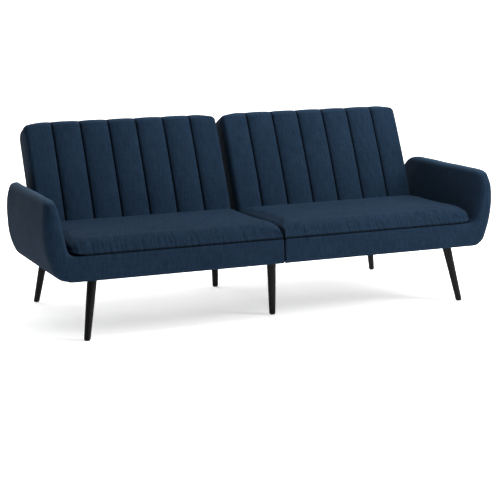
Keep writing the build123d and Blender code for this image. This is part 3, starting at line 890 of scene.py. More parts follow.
# ------------------------------------------------------------------ arm and base
@dataclass
class Outline:
    """A closed section in x and z, run anticlockwise from straight lines and arcs."""

    spacing: float = 0.0055
    evened_over: int = 17
    places: list[Array] = field(default_factory=list)
    outward: list[Array] = field(default_factory=list)
    set_backs: list[Array] = field(default_factory=list)
    limits: list[Array] = field(default_factory=list)

    def _add(self, places: Array, outward: Array, set_back: float, limit: float) -> None:
        """Adds a run of points.

        Args:
            places: x and z of each point.
            outward: direction away from the form at each point.
            set_back: how far the run stands back where the form ends.
            limit: the furthest that it may stand back.
        """
        self.places.append(places)
        self.outward.append(outward)
        self.set_backs.append(np.full(len(places), set_back))
        self.limits.append(np.full(len(places), limit))

    def line(self, start: Pair, end: Pair, set_back: float) -> None:
        """Adds a straight run, whose outward direction is the way of travel turned a quarter to the right.

        Args:
            start: x and z of its start.
            end: x and z of its end.
            set_back: how far the run stands back where the form ends.
        """
        run = np.array(end) - np.array(start)
        length = float(np.linalg.norm(run))
        t = np.linspace(0.0, 1.0, max(2, round(length / self.spacing)), endpoint=False)[:, None]
        right = np.array([run[1], -run[0]]) / length
        self._add(np.array(start) + run * t, np.broadcast_to(right, (len(t), 2)), set_back, 1.0)

    def arc(self, centre: Pair, radius: float, start: float, end: float, set_back: float) -> None:
        """Adds an arc; one that runs clockwise is hollow.

        A full arc stands back by less than its radius, so that it never turns inside out.

        Args:
            centre: x and z of its centre.
            radius: its radius.
            start: angle of its start in degrees.
            end: angle of its end in degrees.
            set_back: how far the run stands back where the form ends.
        """
        turn = np.radians(end - start)
        count = max(4, round(abs(turn) * radius / self.spacing * 1.3))
        angle = math.radians(start) + turn * np.linspace(0.0, 1.0, count, endpoint=False)
        ray = np.stack([np.cos(angle), np.sin(angle)], axis=1)
        outward, limit = (-ray, 1.0) if turn < 0 else (ray, 0.95 * radius)
        self._add(np.array(centre) + ray * radius, outward, set_back, limit)

    def finished(self) -> tuple[Array, Array, Array]:
        """Joins the runs and evens their set-backs out along the outline.

        Returns:
            Places, outward directions and set-backs.
        """
        given = np.concatenate(self.set_backs)
        window = np.hanning(self.evened_over) / np.hanning(self.evened_over).sum()
        wrap = self.evened_over // 2
        evened = np.convolve(np.concatenate([given[-wrap:], given, given[:wrap]]), window, mode="valid")
        evened = np.minimum(evened, np.concatenate(self.limits))
        return np.concatenate(self.places), np.concatenate(self.outward), evened


@dataclass(frozen=True)
class SetBacks:
    """How far each stretch of an arm's section stands back where the form ends."""

    join: float = 0.012
    underside: float = 0.009
    turn: float = 0.030
    outer_face: float = 0.037
    top: float = 0.021
    inner_face: float = 0.024
    cove: float = 0.018
    deck: float = 0.014
    wing_face: float = 0.022
    wing_cut: float = 0.016


@dataclass
class ArmShell:
    """One arm and its base in a single upholstered tub, open under and behind the seat.

    The arm's outer face is a long bulge, with a turn under it and a roll over it. Its side view has a nose
    in front and a tail behind. The pocket is the well under the seat, between the front beam, the side beam
    and the thin wall at the join. A start is measured back from the front. A fade is a pair of distances
    from a face or level: where it is 0, and where it is 1.
    """

    side: Side
    outer: float = 1.013
    inner: float = INNER_FACE
    join: float = 0.004
    front: float = FRONT
    seat_rear: float = 0.0905
    arm_rear: float = 0.3365
    bottom: float = 0.247
    deck: float = 0.349
    top: float = 0.575
    lean: float = ARM_LEAN
    bulge: float = 0.42
    bulge_level: float = 0.455
    turn: float = 0.056
    roll: float = 0.0225
    cove: float = 0.030
    edge: float = 0.010
    set_backs: SetBacks = SetBacks()
    end_lengths: Pair = (1.25, 1.1)
    beam_share: float = 0.2
    side_start: float = 0.052
    arm_start: float = 0.060
    wall_start: float = 0.045
    wall: float = 0.0160
    wall_round: float = 0.004
    pocket_end: float = 0.8228
    pocket_front: float = -0.396
    middle_low: float = 0.045
    middle_high: float = 0.024
    nose: float = 0.078
    tail: Pair = (0.135, 0.078)
    rear_plan: float = 0.105
    rise: float = 0.012
    rise_fade: Pair = (0.0, 0.12)
    blend: float = 0.34
    arm_fade: Pair = (-0.02, 0.0)
    end_steps: int = 12
    body_steps: int = 30
    closing_steps: int = 14
    voxel: float = 0.0050
    relaxing: int = 6
    foot_crease: Crease = Crease(0.022, 0.85)
    deck_crease: Crease = Crease(0.020, 0.55)
    join_crease: Crease = Crease(0.020, 0.8)
    corner_crease: Crease = Crease(0.018, 0.7)
    foot_fade: Pair = (-0.045, -0.085)
    deck_fade: Pair = (-0.010, -0.060)
    waves: tuple[Pair, Pair] = ((17.0, 9.0), (31.0, -23.0))
    wave_height: float = 0.0006
    wave_fade: Pair = (-0.02, 0.03)
    wave_rise: Pair = (0.02, 0.08)
    # Strength and fades of the painted shade along the deck crease.
    shade: float = 0.35
    shade_fade: Pair = (0.012, 0.0)
    shade_end: Pair = (0.004, -0.006)
    shade_front: float = 0.012
    # Strength and fade of the painted highlight along the rubbed top rim.
    rub: float = 0.9
    rub_fade: Pair = (-0.024, 0.006)

    def touching(self, radius: float, z: float) -> tuple[float, float]:
        """Where an arc lies that touches the bulge from inside.

        Its centre is on a circle about the bulge's centre, whose radius is the bulge's less its own.

        Args:
            radius: the arc's radius.
            z: height of its centre.

        Returns:
            x of its centre, and the angle in degrees at which it meets the bulge.
        """
        centre = self.outer - self.bulge
        x = centre + math.sqrt((self.bulge - radius) ** 2 - (z - self.bulge_level) ** 2)
        return x, math.degrees(math.atan2(z - self.bulge_level, x - centre))

    def section(self, left: float) -> Outline:
        """The section from a left-hand x to the arm's outer face.

        It runs under the base, up the turn, the bulge and the roll, over the arm's flat top and a second
        roll, down the leaning inner face, and through a cove back along the deck. A section that begins
        within the arm is a wing: it starts on the turn, and its inner face is cut back to there.

        Args:
            left: x where the section begins.

        Returns:
            The closed outline.
        """
        shape, soft = Outline(), self.set_backs
        slope = math.radians(self.lean)
        turn_z, roll_z = self.bottom + self.turn, self.top - self.roll
        turn_x, low = self.touching(self.turn, turn_z)
        roll_x, high = self.touching(self.roll, roll_z)
        inner_x = self.inner + (roll_z - self.deck) * math.tan(slope) + self.roll / math.cos(slope)
        wing = left >= self.inner
        if wing:
            begin = -math.degrees(math.acos((left - turn_x) / self.turn))
            foot = turn_z + self.turn * math.sin(math.radians(begin))
        else:
            begin = -90.0
            shape.arc((left + self.edge, self.bottom + self.edge), self.edge, 180.0, 270.0, soft.join)
            shape.line((left + self.edge, self.bottom), (turn_x, self.bottom), soft.underside)
        shape.arc((turn_x, turn_z), self.turn, begin, low, soft.turn)
        shape.arc((self.outer - self.bulge, self.bulge_level), self.bulge, low, high, soft.outer_face)
        shape.arc((roll_x, roll_z), self.roll, high, 90.0, soft.top)
        shape.line((roll_x, self.top), (inner_x, self.top), soft.top)
        shape.arc((inner_x, roll_z), self.roll, 90.0, 180.0 - self.lean, soft.top)
        shoulder = (inner_x - self.roll * math.cos(slope), roll_z + self.roll * math.sin(slope))
        if wing:
            shape.line(shoulder, (self.inner, self.deck), soft.wing_face)
            shape.line((self.inner, self.deck), (left, foot), soft.wing_cut)
            return shape
        cove_z = self.deck + self.cove
        cove_x = self.inner + self.cove * math.tan(slope) - self.cove / math.cos(slope)
        foot_x, foot_z = cove_x + self.cove * math.cos(slope), cove_z - self.cove * math.sin(slope)
        shape.line(shoulder, (foot_x, foot_z), soft.inner_face)
        shape.arc((cove_x, cove_z), self.cove, -self.lean, -90.0, soft.cove)
        shape.line((cove_x, self.deck), (left + self.edge, self.deck), soft.deck)
        shape.arc((left + self.edge, self.deck - self.edge), self.edge, 90.0, 180.0, soft.join)
        shape.line((left, self.deck - self.edge), (left, self.bottom + self.edge), soft.join)
        return shape

    def middle(self, place: Array) -> Array:
        """The point half-way between the arm's two faces, beside each point of its section.

        Args:
            place: x and z of each point.

        Returns:
            x and z of each middle point.
        """
        z = np.clip(place[:, 1], self.bottom + self.middle_low, self.top - self.middle_high)
        inside = self.inner + np.clip(z - self.deck, 0.0, None) * math.tan(math.radians(self.lean))
        outside = self.outer - self.bulge + np.sqrt(self.bulge**2 - (z - self.bulge_level) ** 2)
        return np.stack([(inside + outside) / 2.0, z], axis=1)

    def carried(self, shape: Outline, ends: Pair, ahead: float, behind: float) -> Array:
        """Carries a section along y, set back along its own directions at either end.

        Near an end the set-back follows an ellipse quarter, whose length is the set-back times a
        factor. A rear that is rounded in full is closed by rings that shrink to the middle of the arm.

        Args:
            shape: the section.
            ends: y of the front end and of the rear end.
            ahead: share of the section's set-backs used at the front.
            behind: share used at the rear.

        Returns:
            Rings by points by three.
        """
        place, outward, soft = shape.finished()
        start, end = ends
        bend = np.linspace(0.0, np.pi / 2, self.end_steps)
        body = np.linspace(0.0, 1.0, self.body_steps)[1:-1]
        front_set, rear_set = soft * ahead, soft * behind
        front_long, rear_long = front_set * self.end_lengths[0], rear_set * self.end_lengths[1]
        first, last = start + front_long, end - rear_long
        inset = np.concatenate(
            [
                front_set * (1.0 - np.sin(bend))[:, None],
                np.zeros((len(body), len(soft))),
                rear_set * (1.0 - np.sin(bend[::-1]))[:, None],
            ]
        )
        y = np.concatenate(
            [
                start + front_long * (1.0 - np.cos(bend))[:, None],
                first + (last - first) * body[:, None],
                end - rear_long * (1.0 - np.cos(bend[::-1]))[:, None],
            ]
        )
        flat = place - outward * inset[..., None]
        if behind >= 1.0:
            share = np.linspace(1.0, 0.0, self.closing_steps)[1:, None, None]
            centre = self.middle(flat[-1])
            flat = np.concatenate([flat, centre + (flat[-1:] - centre) * share])
            y = np.concatenate([y, np.repeat(y[-1:], len(share), axis=0)])
        return self.trimmed(flat[..., 0], y, flat[..., 1])

    def trimmed(self, x: Array, y: Array, z: Array) -> Array:
        """Gives the arm its side view and its plan.

        Each set-back is the ellipse quarter of a distance, and fades with the way from its end of the arm.
        The front stands back by the distance under the top. The rear, on the arm alone, does so by the
        distances under the top, above the bottom and within the outer face. The arm rises evenly
        towards the rear.

        Args:
            x: x of each point.
            y: y of each point.
            z: z of each point.

        Returns:
            Rings by points by three.
        """
        near = np.clip(1.0 - (y - self.front) / self.blend, 0.0, 1.0)
        far = np.clip(1.0 - (self.arm_rear - y) / self.blend, 0.0, 1.0)
        arm = eased(x - self.inner, *self.arm_fade)
        high_tail, low_tail = self.tail
        y = y + arc_inset(self.top - z, self.nose) * near
        y = y - (arc_inset(self.top - z, high_tail) + arc_inset(z - self.bottom, low_tail)) * far * arm
        y = y - arc_inset(self.outer - x, self.rear_plan) * far * arm
        along = np.clip((y - self.front) / (self.arm_rear - self.front), 0.0, 1.0)
        lift = self.rise * arm * along * eased(z - self.deck, *self.rise_fade)
        return np.stack([x, y, z + lift], axis=-1)

    def wall_rings(self) -> Array:
        """The thin wall beside the join, as level rings of a narrow rectangle.

        Returns:
            Rings by points by three.
        """
        z = np.linspace(self.bottom, self.deck, 12)
        level = np.ones_like(z)
        across = (level * self.join, level * self.wall)
        along = (level * (self.front + self.wall_start), level * self.seat_rear)
        corner = (self.wall_round, self.wall_round)
        return rounded_rings(across, along, z, (corner,) * 4, steps=4, side=30)

    def build(self, finishes: Finishes) -> Piece:
        """Joins front beam, side beam, arm and centre wall in one skin, softens it and lays its cloth.

        Args:
            finishes: the sofa's materials.

        Returns:
            The arm cover.
        """
        side_ends = (self.front + self.side_start, self.seat_rear)
        arm_ends = (self.front + self.arm_start, self.arm_rear)
        forms = (
            self.carried(self.section(self.join), (self.front, self.pocket_front), 1.0, 0.0),
            self.carried(self.section(self.pocket_end), side_ends, 0.0, self.beam_share),
            self.carried(self.section(self.inner), arm_ends, 0.0, 1.0),
            self.wall_rings(),
        )
        points, quads, caps, count = [], [], [], 0
        for form in forms:
            more_points, more_quads, more_caps = capped(form)
            points.append(more_points)
            quads.append(more_quads + count)
            caps += [cap + count for cap in more_caps]
            count += len(more_points)
        name = f"{self.side.word}_arm_cover"
        piece = make_piece(name, mirrored(np.concatenate(points), self.side), np.concatenate(quads), caps)
        revoxel(piece, self.voxel, self.relaxing)
        self.soften(piece)
        lay_weave(piece)
        dress(piece, finishes.arm_cloth)
        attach(piece, "base")
        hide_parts(f"{self.side.word}_arm_shell")
        return piece

    def tightened(self, place: Array) -> Array:
        """Draws the base's edges out: the front with the underside and deck, and both with the join.

        Args:
            place: the skin's points.

        Returns:
            The points in their new places.
        """
        x, y, z = np.abs(place[:, 0]), place[:, 1], place[:, 2]
        base = eased(x - self.inner, *self.deck_fade)
        under = eased(x - self.outer, *self.foot_fade)
        ahead, above = self.foot_crease.drawn(y - self.front, z - self.bottom, under)
        ahead, below = self.deck_crease.drawn(ahead, self.deck - z, base)
        above = np.where(below != self.deck - z, self.deck - self.bottom - below, above)
        beside, ahead = self.join_crease.drawn(x - self.join, ahead)
        beside, above = self.corner_crease.drawn(beside, above)
        side = np.sign(place[:, 0])
        return np.stack([side * (self.join + beside), self.front + ahead, self.bottom + above], axis=1)

    def soften(self, piece: Piece) -> None:
        """Draws the base's edges taut, adds low waves on the arm, and marks a painted highlight on the rubbed
        top rim and painted shade along the deck crease.

        The waves are two sines of y and z, and push the skin along its own directions.

        Args:
            piece: the joined skin.
        """
        mesh = piece.data
        place, out = self.tightened(coordinates(mesh)), point_normals(mesh)
        x, y, z = np.abs(place[:, 0]), place[:, 1], place[:, 2]
        arm = eased(x - self.inner, *self.wave_fade) * eased(z - self.bottom, *self.wave_rise)
        long, short = self.waves
        wave = np.sin(y * long[0] + z * long[1] + self.side.value)
        wave += 0.6 * np.sin(y * short[0] + z * short[1] + 1.7)
        move_points(mesh, place + out * (arm * wave * self.wave_height)[:, None])
        # Painted shade along the deck crease, kept off the front.
        near_deck = eased(np.abs(z - self.deck), *self.shade_fade) * eased(x - self.inner, *self.shade_end)
        store(piece, "seam", self.shade * near_deck * (y > self.front + self.shade_front))
        # Painted highlight along the rubbed top rim.
        store(piece, "rub", self.rub * eased(z - self.top, *self.rub_fade))


# ------------------------------------------------------------------ seat
@dataclass
class SeatCushion:
    """One crowned seat cushion that rolls over the front of the base.

    A pair of rounds holds the one under the top and the one over the foot. The join is the plane where the
    two cushions press on each other. A fade is a pair of distances from a face or level: where it is 0, and
    where it is 1.
    """

    side: Side
    start: float = 0.0015
    end: float = 0.9165
    front: float = FRONT
    rear: float = 0.0935
    low: float = 0.3500
    edge_top: float = 0.4075
    shoulder: float = 0.04
    crown: float = 0.0125
    front_roll: Pair = (0.052, 0.080)
    hem: float = 0.006
    join_rounds: Pair = (0.012, 0.003)
    outer_round: Pair = (0.024, 0.030)
    outer_foot: float = 0.024
    rear_rounds: Pair = (0.010, 0.006)
    corners: tuple[Pair, ...] = ((0.058, 0.054), (0.030, 0.030), (0.008, 0.008), (0.012, 0.016))
    lean: float = math.tan(math.radians(ARM_LEAN))
    voxel: float = 0.0070
    relaxing: int = 10
    shrink: float = 0.004
    filling: Filling = Filling()
    held_fade: Pair = (0.020, 0.005)
    hem_crease: Crease = Crease(0.026, 0.9)
    join: float = 0.005
    join_crease: Crease = Crease(0.020, 0.9)
    corner_crease: Crease = Crease(0.034, 0.9)
    hem_end: Pair = (-0.01, -0.06)
    pressed: float = 0.85
    pressed_fade: Pair = (0.045, 0.0)
    pressed_top: Pair = (0.002, -0.022)
    pucker_lengths: tuple[float, ...] = (0.017, 0.023, 0.034, 0.052)
    pucker_height: float = 0.00045
    pucker_front: Pair = (0.060, 0.040)
    pucker_top: Pair = (0.056, 0.026)
    hem_line: Pair = (0.004, 0.0030)
    hem_depth: float = 0.0012
    gather_fade: Pair = (0.095, 0.035)
    # Strength and fades of the painted highlight along the rubbed front top edge.
    rub: float = 0.5
    rub_front: Pair = (0.05, 0.02)
    rub_top: Pair = (-0.010, 0.0)
    clearance: float = 0.0002

    def rings(self) -> Array:
        """Level rings up the sides, then rings that close over the crowned top and the flat bottom.

        Every edge stands back by ellipse quarters of the distances to the top and to the bottom, and the
        outer side leans as the arm does.

        Returns:
            Rings by points by three.
        """
        quarter = np.pi / 2
        knee = self.edge_top - self.shoulder
        z = np.concatenate(
            [
                self.low + self.hem * (1.0 - np.cos(np.linspace(0.0, quarter, 8)[:-1])),
                np.linspace(self.low + self.hem, knee, 5),
                knee + self.shoulder * np.sin(np.linspace(0.0, quarter, 14)[1:]),
            ]
        )
        below, above = self.edge_top - z, z - self.low
        inner = self.start + arc_inset(below, self.join_rounds[0]) + arc_inset(above, self.join_rounds[1])
        outer = self.end + above * self.lean
        outer = outer - arc_inset(below, *self.outer_round) - arc_inset(above, self.outer_foot)
        front = self.front + arc_inset(below, *self.front_roll) + arc_inset(above, self.hem)
        rear = self.rear - arc_inset(below, self.rear_rounds[0]) - arc_inset(above, self.rear_rounds[1])
        sides = rounded_rings((inner, outer), (front, rear), z, self.corners, 14, 60)
        return np.concatenate([self.closing(sides[0], 0.0)[::-1], sides, self.closing(sides[-1], self.crown)])

    @staticmethod
    def closing(rim: Array, rise: float) -> Array:
        """Rings that shrink from a rim to its middle, rising by 1 less the shrink to the fourth power.

        Args:
            rim: the outermost ring, which isn't repeated.
            rise: how much higher the middle is than the rim.

        Returns:
            Rings by points by three.
        """
        middle = rim.mean(axis=0)
        scale = np.cos(np.linspace(0.0, np.pi / 2, 26)[1:])[:, None, None]
        rings = middle + (rim[None] - middle) * scale
        rings[..., 2] = rim[0, 2] + rise * (1.0 - scale[..., 0] ** 4)
        return rings

    def build(self, finishes: Finishes) -> Piece:
        """Fills the cushion as cloth, then sews its front hem and lays its weave.

        Args:
            finishes: the sofa's materials.

        Returns:
            The seat pad.
        """
        rings = self.rings()
        name = f"{self.side.word}_seat_pad"
        piece = make_piece(name, mirrored(rings.reshape(-1, 3), self.side), ring_faces(*rings.shape[:2]))
        revoxel(piece, self.voxel, self.relaxing)
        place, out = coordinates(piece.data), point_normals(piece.data)
        move_points(piece.data, place - out * self.shrink)
        self.filling.inflate(piece, self.held(place))
        finer = piece.modifiers.new("finer", "SUBSURF")
        finer.levels = finer.render_levels = 1
        settle(piece)
        self.sew(piece)
        lay_weave(piece)
        dress(piece, finishes.seat_cloth)
        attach(piece, "base")
        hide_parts(f"{self.side.word}_seat_cushion")
        return piece

    def held(self, place: Array) -> Array:
        """How firmly the filling keeps each point: most at the bottom, which rests on the slats."""
        return 0.45 + 0.55 * eased(place[:, 2] - self.low, *self.held_fade)

    def tightened(self, place: Array) -> Array:
        """Draws the hem down to the base and presses the cushion against its neighbour.

        Beside the join a point keeps only a part of its distance, more of it further away and near the top.

        Args:
            place: the cushion's points.

        Returns:
            The points in their new places.
        """
        x, y, z = np.abs(place[:, 0]), place[:, 1], place[:, 2]
        off_end = eased(x - self.end, *self.hem_end)
        ahead, above = self.hem_crease.drawn(y - self.front, z - self.low, off_end)
        beside, above = self.join_crease.drawn(x - self.join, above)
        beside, ahead = self.corner_crease.drawn(beside, ahead)
        under_top = above - (self.edge_top - self.low)
        near = eased(beside, *self.pressed_fade) * eased(under_top, *self.pressed_top)
        beside = beside * (1.0 - self.pressed * near)
        side = np.sign(place[:, 0])
        return np.stack([side * (self.join + beside), self.front + ahead, self.low + above], axis=1)

    def puckers(self, x: Array) -> Array:
        """The gathers along the hem: sines of x of several lengths, whose phases drift.

        Args:
            x: distance of each point from the join.

        Returns:
            The height of the gathers at each point, between about -4 and 4.
        """
        rng = np.random.default_rng(11 if self.side is Side.RIGHT else 23)
        height = np.zeros(len(x))
        for length in self.pucker_lengths:
            phase = rng.uniform(0.0, 2.0 * np.pi)
            drift = rng.uniform(0.6, 1.4)
            height += np.sin(2.0 * np.pi * x / length + phase + drift * np.sin(x * 37.0 + phase))
        return height

    def sew(self, piece: Piece) -> None:
        """Gathers the cloth over the hem, sinks the hem's seam, keeps the cushion off its neighbours, and
        marks painted shade in the hem's groove and the gathers' hollows and a painted highlight along the
        front top edge.

        The seam is a groove whose depth is a bell curve of the height.

        Args:
            piece: the filled cushion.
        """
        mesh = piece.data
        before, out = coordinates(mesh), point_normals(mesh)
        front = eased(before[:, 1] - self.front, *self.pucker_front)
        place = self.tightened(before)
        puckers = self.puckers(np.abs(place[:, 0]))
        above = place[:, 2] - self.low
        gather = front * eased(above, *self.pucker_top)
        line, width = self.hem_line
        hem = front * np.exp(-(((above - line) / width) ** 2))
        place += out * (gather * puckers * self.pucker_height - hem * self.hem_depth)[:, None]
        place[:, 2] = np.maximum(place[:, 2], self.low - self.clearance)
        place[:, 0] = np.sign(place[:, 0]) * np.maximum(np.abs(place[:, 0]), self.join - self.clearance)
        move_points(mesh, place)
        # Painted highlight along the rubbed front top edge.
        back, under_top = place[:, 1] - self.front, place[:, 2] - self.edge_top
        top_edge = eased(under_top, *self.rub_top) * eased(back, *self.rub_front)
        # Painted shade in the hem's groove and in the hollows of the gathers.
        store(piece, "seam", 0.85 * hem + 0.12 * gather * np.clip(-puckers, 0.0, 1.0))
        store(piece, "gather", eased(back, *self.gather_fade))
        store(piece, "rub", self.rub * top_edge)


# ------------------------------------------------------------------ reclining back
@dataclass
class BackCushion:
    """One reclining back: seven sewn channels in front, plain cloth behind, round at the hinge.

    Its side view lies in a plane of its own, whose origin is the hinge's axis: across runs from the
    front to the rear, and up runs along the back. The shoulder holds how far the top's dip reaches in from
    an end, and how deep it is there. The faces are rounded at the join and at the outer end. The slots are
    the spans in x of the hinge recesses. A fade is a pair of distances: where it is 0, and where it is 1.
    """

    side: Side
    start: float = 0.0120
    end: float = 0.9070
    axis_y: float = 0.1635
    axis_z: float = 0.345
    tilt: float = math.radians(22.5)
    half: float = 0.070
    length: float = 0.508
    top_round: float = 0.042
    rear_top_round: float = 0.060
    channels: int = 7
    front_depth: float = 0.0210
    top_depth: float = 0.0030
    power: float = 2.3
    ripple_lengths: tuple[float, ...] = (0.021, 0.034, 0.057)
    ripple_height: float = 0.00022
    ripple_reach: float = 0.016
    roll_depth: float = 0.0012
    roll_line: Pair = (-0.040, 0.006)
    crown: float = 0.0035
    top_fade: Pair = (0.020, -0.010)
    foot_fade: Pair = (-0.004, -0.034)
    end_round: float = 0.024
    face_round: Pair = (0.018, 0.022)
    rear_round: float = 0.012
    top_end: float = 0.012
    shoulder: Pair = (0.105, 0.019)
    dome: float = 0.004
    bow: float = 0.010
    slots: tuple[Pair, ...] = ((0.0253, 0.0556), (0.8065, 0.8368))
    slot_wall: float = -0.030
    slot_top: float = 0.030
    slot_edge: float = 0.0006
    around: int = 380
    # Width, strength and fade of the painted shade along each seam.
    seam_width: float = 0.0038
    seam_dark: float = 0.96
    seam_fade: Pair = (0.012, -0.008)
    # Strength and fade of the painted highlight along the rubbed top edge.
    rub: float = 0.5
    rub_fade: Pair = (-0.03, 0.0)

    @property
    def pitch(self) -> float:
        """Width of one channel."""
        return (self.end - self.start) / self.channels

    def profile(self) -> tuple[Array, Array, Array]:
        """The side view, evenly spaced by length.

        Up the front, over the top and down the rear: three straight runs, each followed by an arc of one
        or two quarter turns. Places and outward directions are complex numbers, across plus i times up, so
        that a turn to the right is a product with e to the power of -i times its angle.

        Returns:
            Places (across, up), outward directions, and lengths along the outline.
        """
        sides = (
            (self.length - self.top_round, self.top_round, 1),
            (2.0 * self.half - self.top_round - self.rear_top_round, self.rear_top_round, 1),
            (self.length - self.rear_top_round, self.half, 2),
        )
        whole = sum(straight + radius * quarters * np.pi / 2 for straight, radius, quarters in sides)
        s = np.linspace(0.0, whole, self.around, endpoint=False)
        at, away, passed = complex(-self.half, 0.0), complex(-1.0, 0.0), 0.0
        place = out = np.zeros(len(s), dtype=complex)
        for straight, radius, quarters in sides:
            run = s - passed
            centre = at - 1j * away * straight - radius * away
            turned = away * np.exp(-1j * np.clip(run - straight, 0.0, None) / radius)
            here = np.where(run < straight, at - 1j * away * run, centre + radius * turned)
            place, out = np.where(run < 0.0, place, here), np.where(run < 0.0, out, turned)
            away *= (-1j) ** quarters
            at = centre + radius * away
            passed += straight + radius * quarters * np.pi / 2
        return np.stack([place.real, place.imag], axis=1), np.stack([out.real, out.imag], axis=1), s

    def stations(self) -> tuple[Array, Array, Array]:
        """Places along the back's width.

        Each end is a panel that bulges by the cube of the way to its rim, then an arc. Between them the
        sections stand closer at the seams, and in pairs at the edges of the hinge recesses.

        Returns:
            The x of each section, the share of the end's rounding that sets its outline back, and its
            share of the way from the middle line to the outline, which is 1 except on the end panels.
        """
        closing = np.linspace(0.02, 1.0, 13)[:-1]
        bend = np.linspace(0.0, np.pi / 2, 12)[:-1]
        panel_x = self.start + self.dome * closing**3
        round_x = self.start + self.dome + (self.end_round - self.dome) * (1.0 - np.cos(bend))
        round_inset = 1.0 - np.sin(bend)
        near, far = self.start + self.end_round, self.end - self.end_round
        within = 0.35 * (1.0 - np.cos(np.linspace(0.0, np.pi, 31))) / 2.0 + 0.65 * np.linspace(0.0, 1.0, 31)
        body = (self.start + self.pitch * (np.arange(self.channels)[:, None] + within[None, :-1])).ravel()
        shifts = (-self.slot_edge, self.slot_edge)
        edges = np.array([place + shift for slot in self.slots for place in slot for shift in shifts])
        body = np.concatenate([body[(body > near) & (body < far)], [near, far], edges[edges >= near]])
        body, inner = np.unique(body), edges[edges < near]
        first_x = np.concatenate([round_x, inner])
        order = np.argsort(first_x)
        first_inset = np.concatenate([round_inset, np.interp(inner, round_x, round_inset)])[order]
        both = self.start + self.end
        x = np.concatenate([panel_x, first_x[order], body, both - round_x[::-1], both - panel_x[::-1]])
        panel = np.ones(len(closing))
        inset = np.concatenate([panel, first_inset, np.zeros(len(body)), round_inset[::-1], panel])
        share = np.concatenate([closing, np.ones(len(x) - 2 * len(closing)), closing[::-1]])
        return x, inset, share

    def ripples(self, x: Array, s: Array) -> Array:
        """Gathers along each seam: sines of the length along the outline, which die away from the seam.

        Args:
            x: x of each section.
            s: length along the outline at each point.

        Returns:
            How far they stand back, of sections by points.
        """
        rng = np.random.default_rng(5 if self.side is Side.RIGHT else 9)
        depth = np.zeros((len(x), len(s)))
        for line in self.start + self.pitch * np.arange(1, self.channels):
            wave = np.zeros(len(s))
            for length in self.ripple_lengths:
                wave += np.sin(2.0 * np.pi * s / length + rng.uniform(0.0, 2.0 * np.pi))
            depth += np.exp(-np.abs(x - line) / self.ripple_reach)[:, None] * wave * self.ripple_height
        return depth

    def quilting(self, x: Array, place: Array, out: Array, s: Array) -> Array:
        """How far the cloth stands back from the outline at each section and point.

        Across a channel the depth is 1 less the p-th root of 1 less the p-th power of the distance
        from the channel's middle, so that it is nearly flat there and steep at the seam. To it come the
        ripples, a faint line under the top roll, and a crown along the back. Behind the top and below
        the front it fades out.

        Args:
            x: x of each section.
            place: the side view's points.
            out: its outward directions.
            s: length along it at each point.

        Returns:
            The depth, of sections by points.
        """
        ratio = np.clip((x - self.start) / self.pitch, 1e-6, self.channels - 1e-6)
        index = np.floor(ratio)
        from_middle = 2.0 * (ratio - index) - 1.0
        outer = ((index == 0) & (from_middle < 0)) | ((index == self.channels - 1) & (from_middle > 0))
        channel = 1.0 - (1.0 - np.abs(from_middle) ** self.power) ** (1.0 / self.power)
        channel = np.where(outer, 0.0, channel)
        across, up = place.T
        over_top, below = eased(across, *self.top_fade), eased(across, *self.foot_fade)
        cover = np.where(up > self.half, over_top, np.where(up > 0, np.where(across < 0, 1.0, 0.0), below))
        steep = self.front_depth * out[:, 0] ** 2 + self.top_depth * out[:, 1] ** 2
        line, width = self.roll_line
        under_roll = np.exp(-(((up - self.length - line) / width) ** 2)) * (across < -0.03)
        crown = np.sin(np.clip(up / self.length, 0.0, 1.0) * np.pi) * (across < -0.02)
        low = self.ripples(x, s) + self.roll_depth * under_roll - self.crown * crown
        return channel[:, None] * (steep * cover) + low * cover

    def rounding(self, x: Array, inset: Array, place: Array, out: Array) -> Array:
        """How far the ends and the shoulders stand back from the outline.

        An end's rounding has its own reach in front, behind and on top. The top also dips towards each
        end, by the square of the way over the shoulder.

        Args:
            x: x of each section.
            inset: share of the end's rounding at each section.
            place: the side view's points.
            out: its outward directions.

        Returns:
            The set-back, of sections by points.
        """
        face = np.where(x < (self.start + self.end) / 2.0, *self.face_round)
        face = np.where(out[:, 0] > 0.0, self.rear_round, face[:, None])
        ends = inset[:, None] * (face * out[:, 0] ** 2 + self.top_end * out[:, 1] ** 2)
        reach, dip = self.shoulder
        from_end = np.minimum(x - self.start, self.end - x)
        sloped = dip * np.clip(1.0 - from_end / reach, 0.0, 1.0) ** 2
        return ends + sloped[:, None] * ((place[:, 1] > self.half) * out[:, 1] ** 2)

    def slotted(self, place: Array, s: Array) -> tuple[Array, Array]:
        """The side view with a hinge recess cut from its lower rear corner.

        From the rear face the cut runs level to the recess's wall, then straight down to the round.

        Args:
            place: the side view's points.
            s: length along it at each point.

        Returns:
            The cut side view, and where it differs.
        """
        turns = self.top_round + self.rear_top_round
        begin = 2.0 * (self.length - turns + self.half) + turns * np.pi / 2 - self.slot_top
        finish = begin + self.slot_top + self.half * math.acos(self.slot_wall / self.half)
        t = np.clip((s - begin) / (finish - begin), 0.0, 1.0)
        level = self.half - self.slot_wall
        drop = self.slot_top + math.sqrt(self.half**2 - self.slot_wall**2)
        way = t * (level + drop)
        across = np.where(way < level, self.half - way, self.slot_wall)
        up = np.where(way < level, self.slot_top, self.slot_top - (way - level))
        inside = (s >= begin) & (s <= finish)
        return np.where(inside[:, None], np.stack([across, up], axis=1), place), inside

    def stood(self, x: Array, outline: Array) -> Array:
        """Bows the outline back by the square of its height, and leans it on the hinge's axis.

        Args:
            x: x of each section.
            outline: across and up of its points.

        Returns:
            Sections by points by three.
        """
        across, up = outline[..., 0], outline[..., 1]
        across = across + self.bow * np.clip(up / self.length, 0.0, 1.0) ** 2
        y = self.axis_y + across * math.cos(self.tilt) + up * math.sin(self.tilt)
        z = self.axis_z - across * math.sin(self.tilt) + up * math.cos(self.tilt)
        return np.stack([np.broadcast_to(x[:, None], y.shape), y, z], axis=-1)

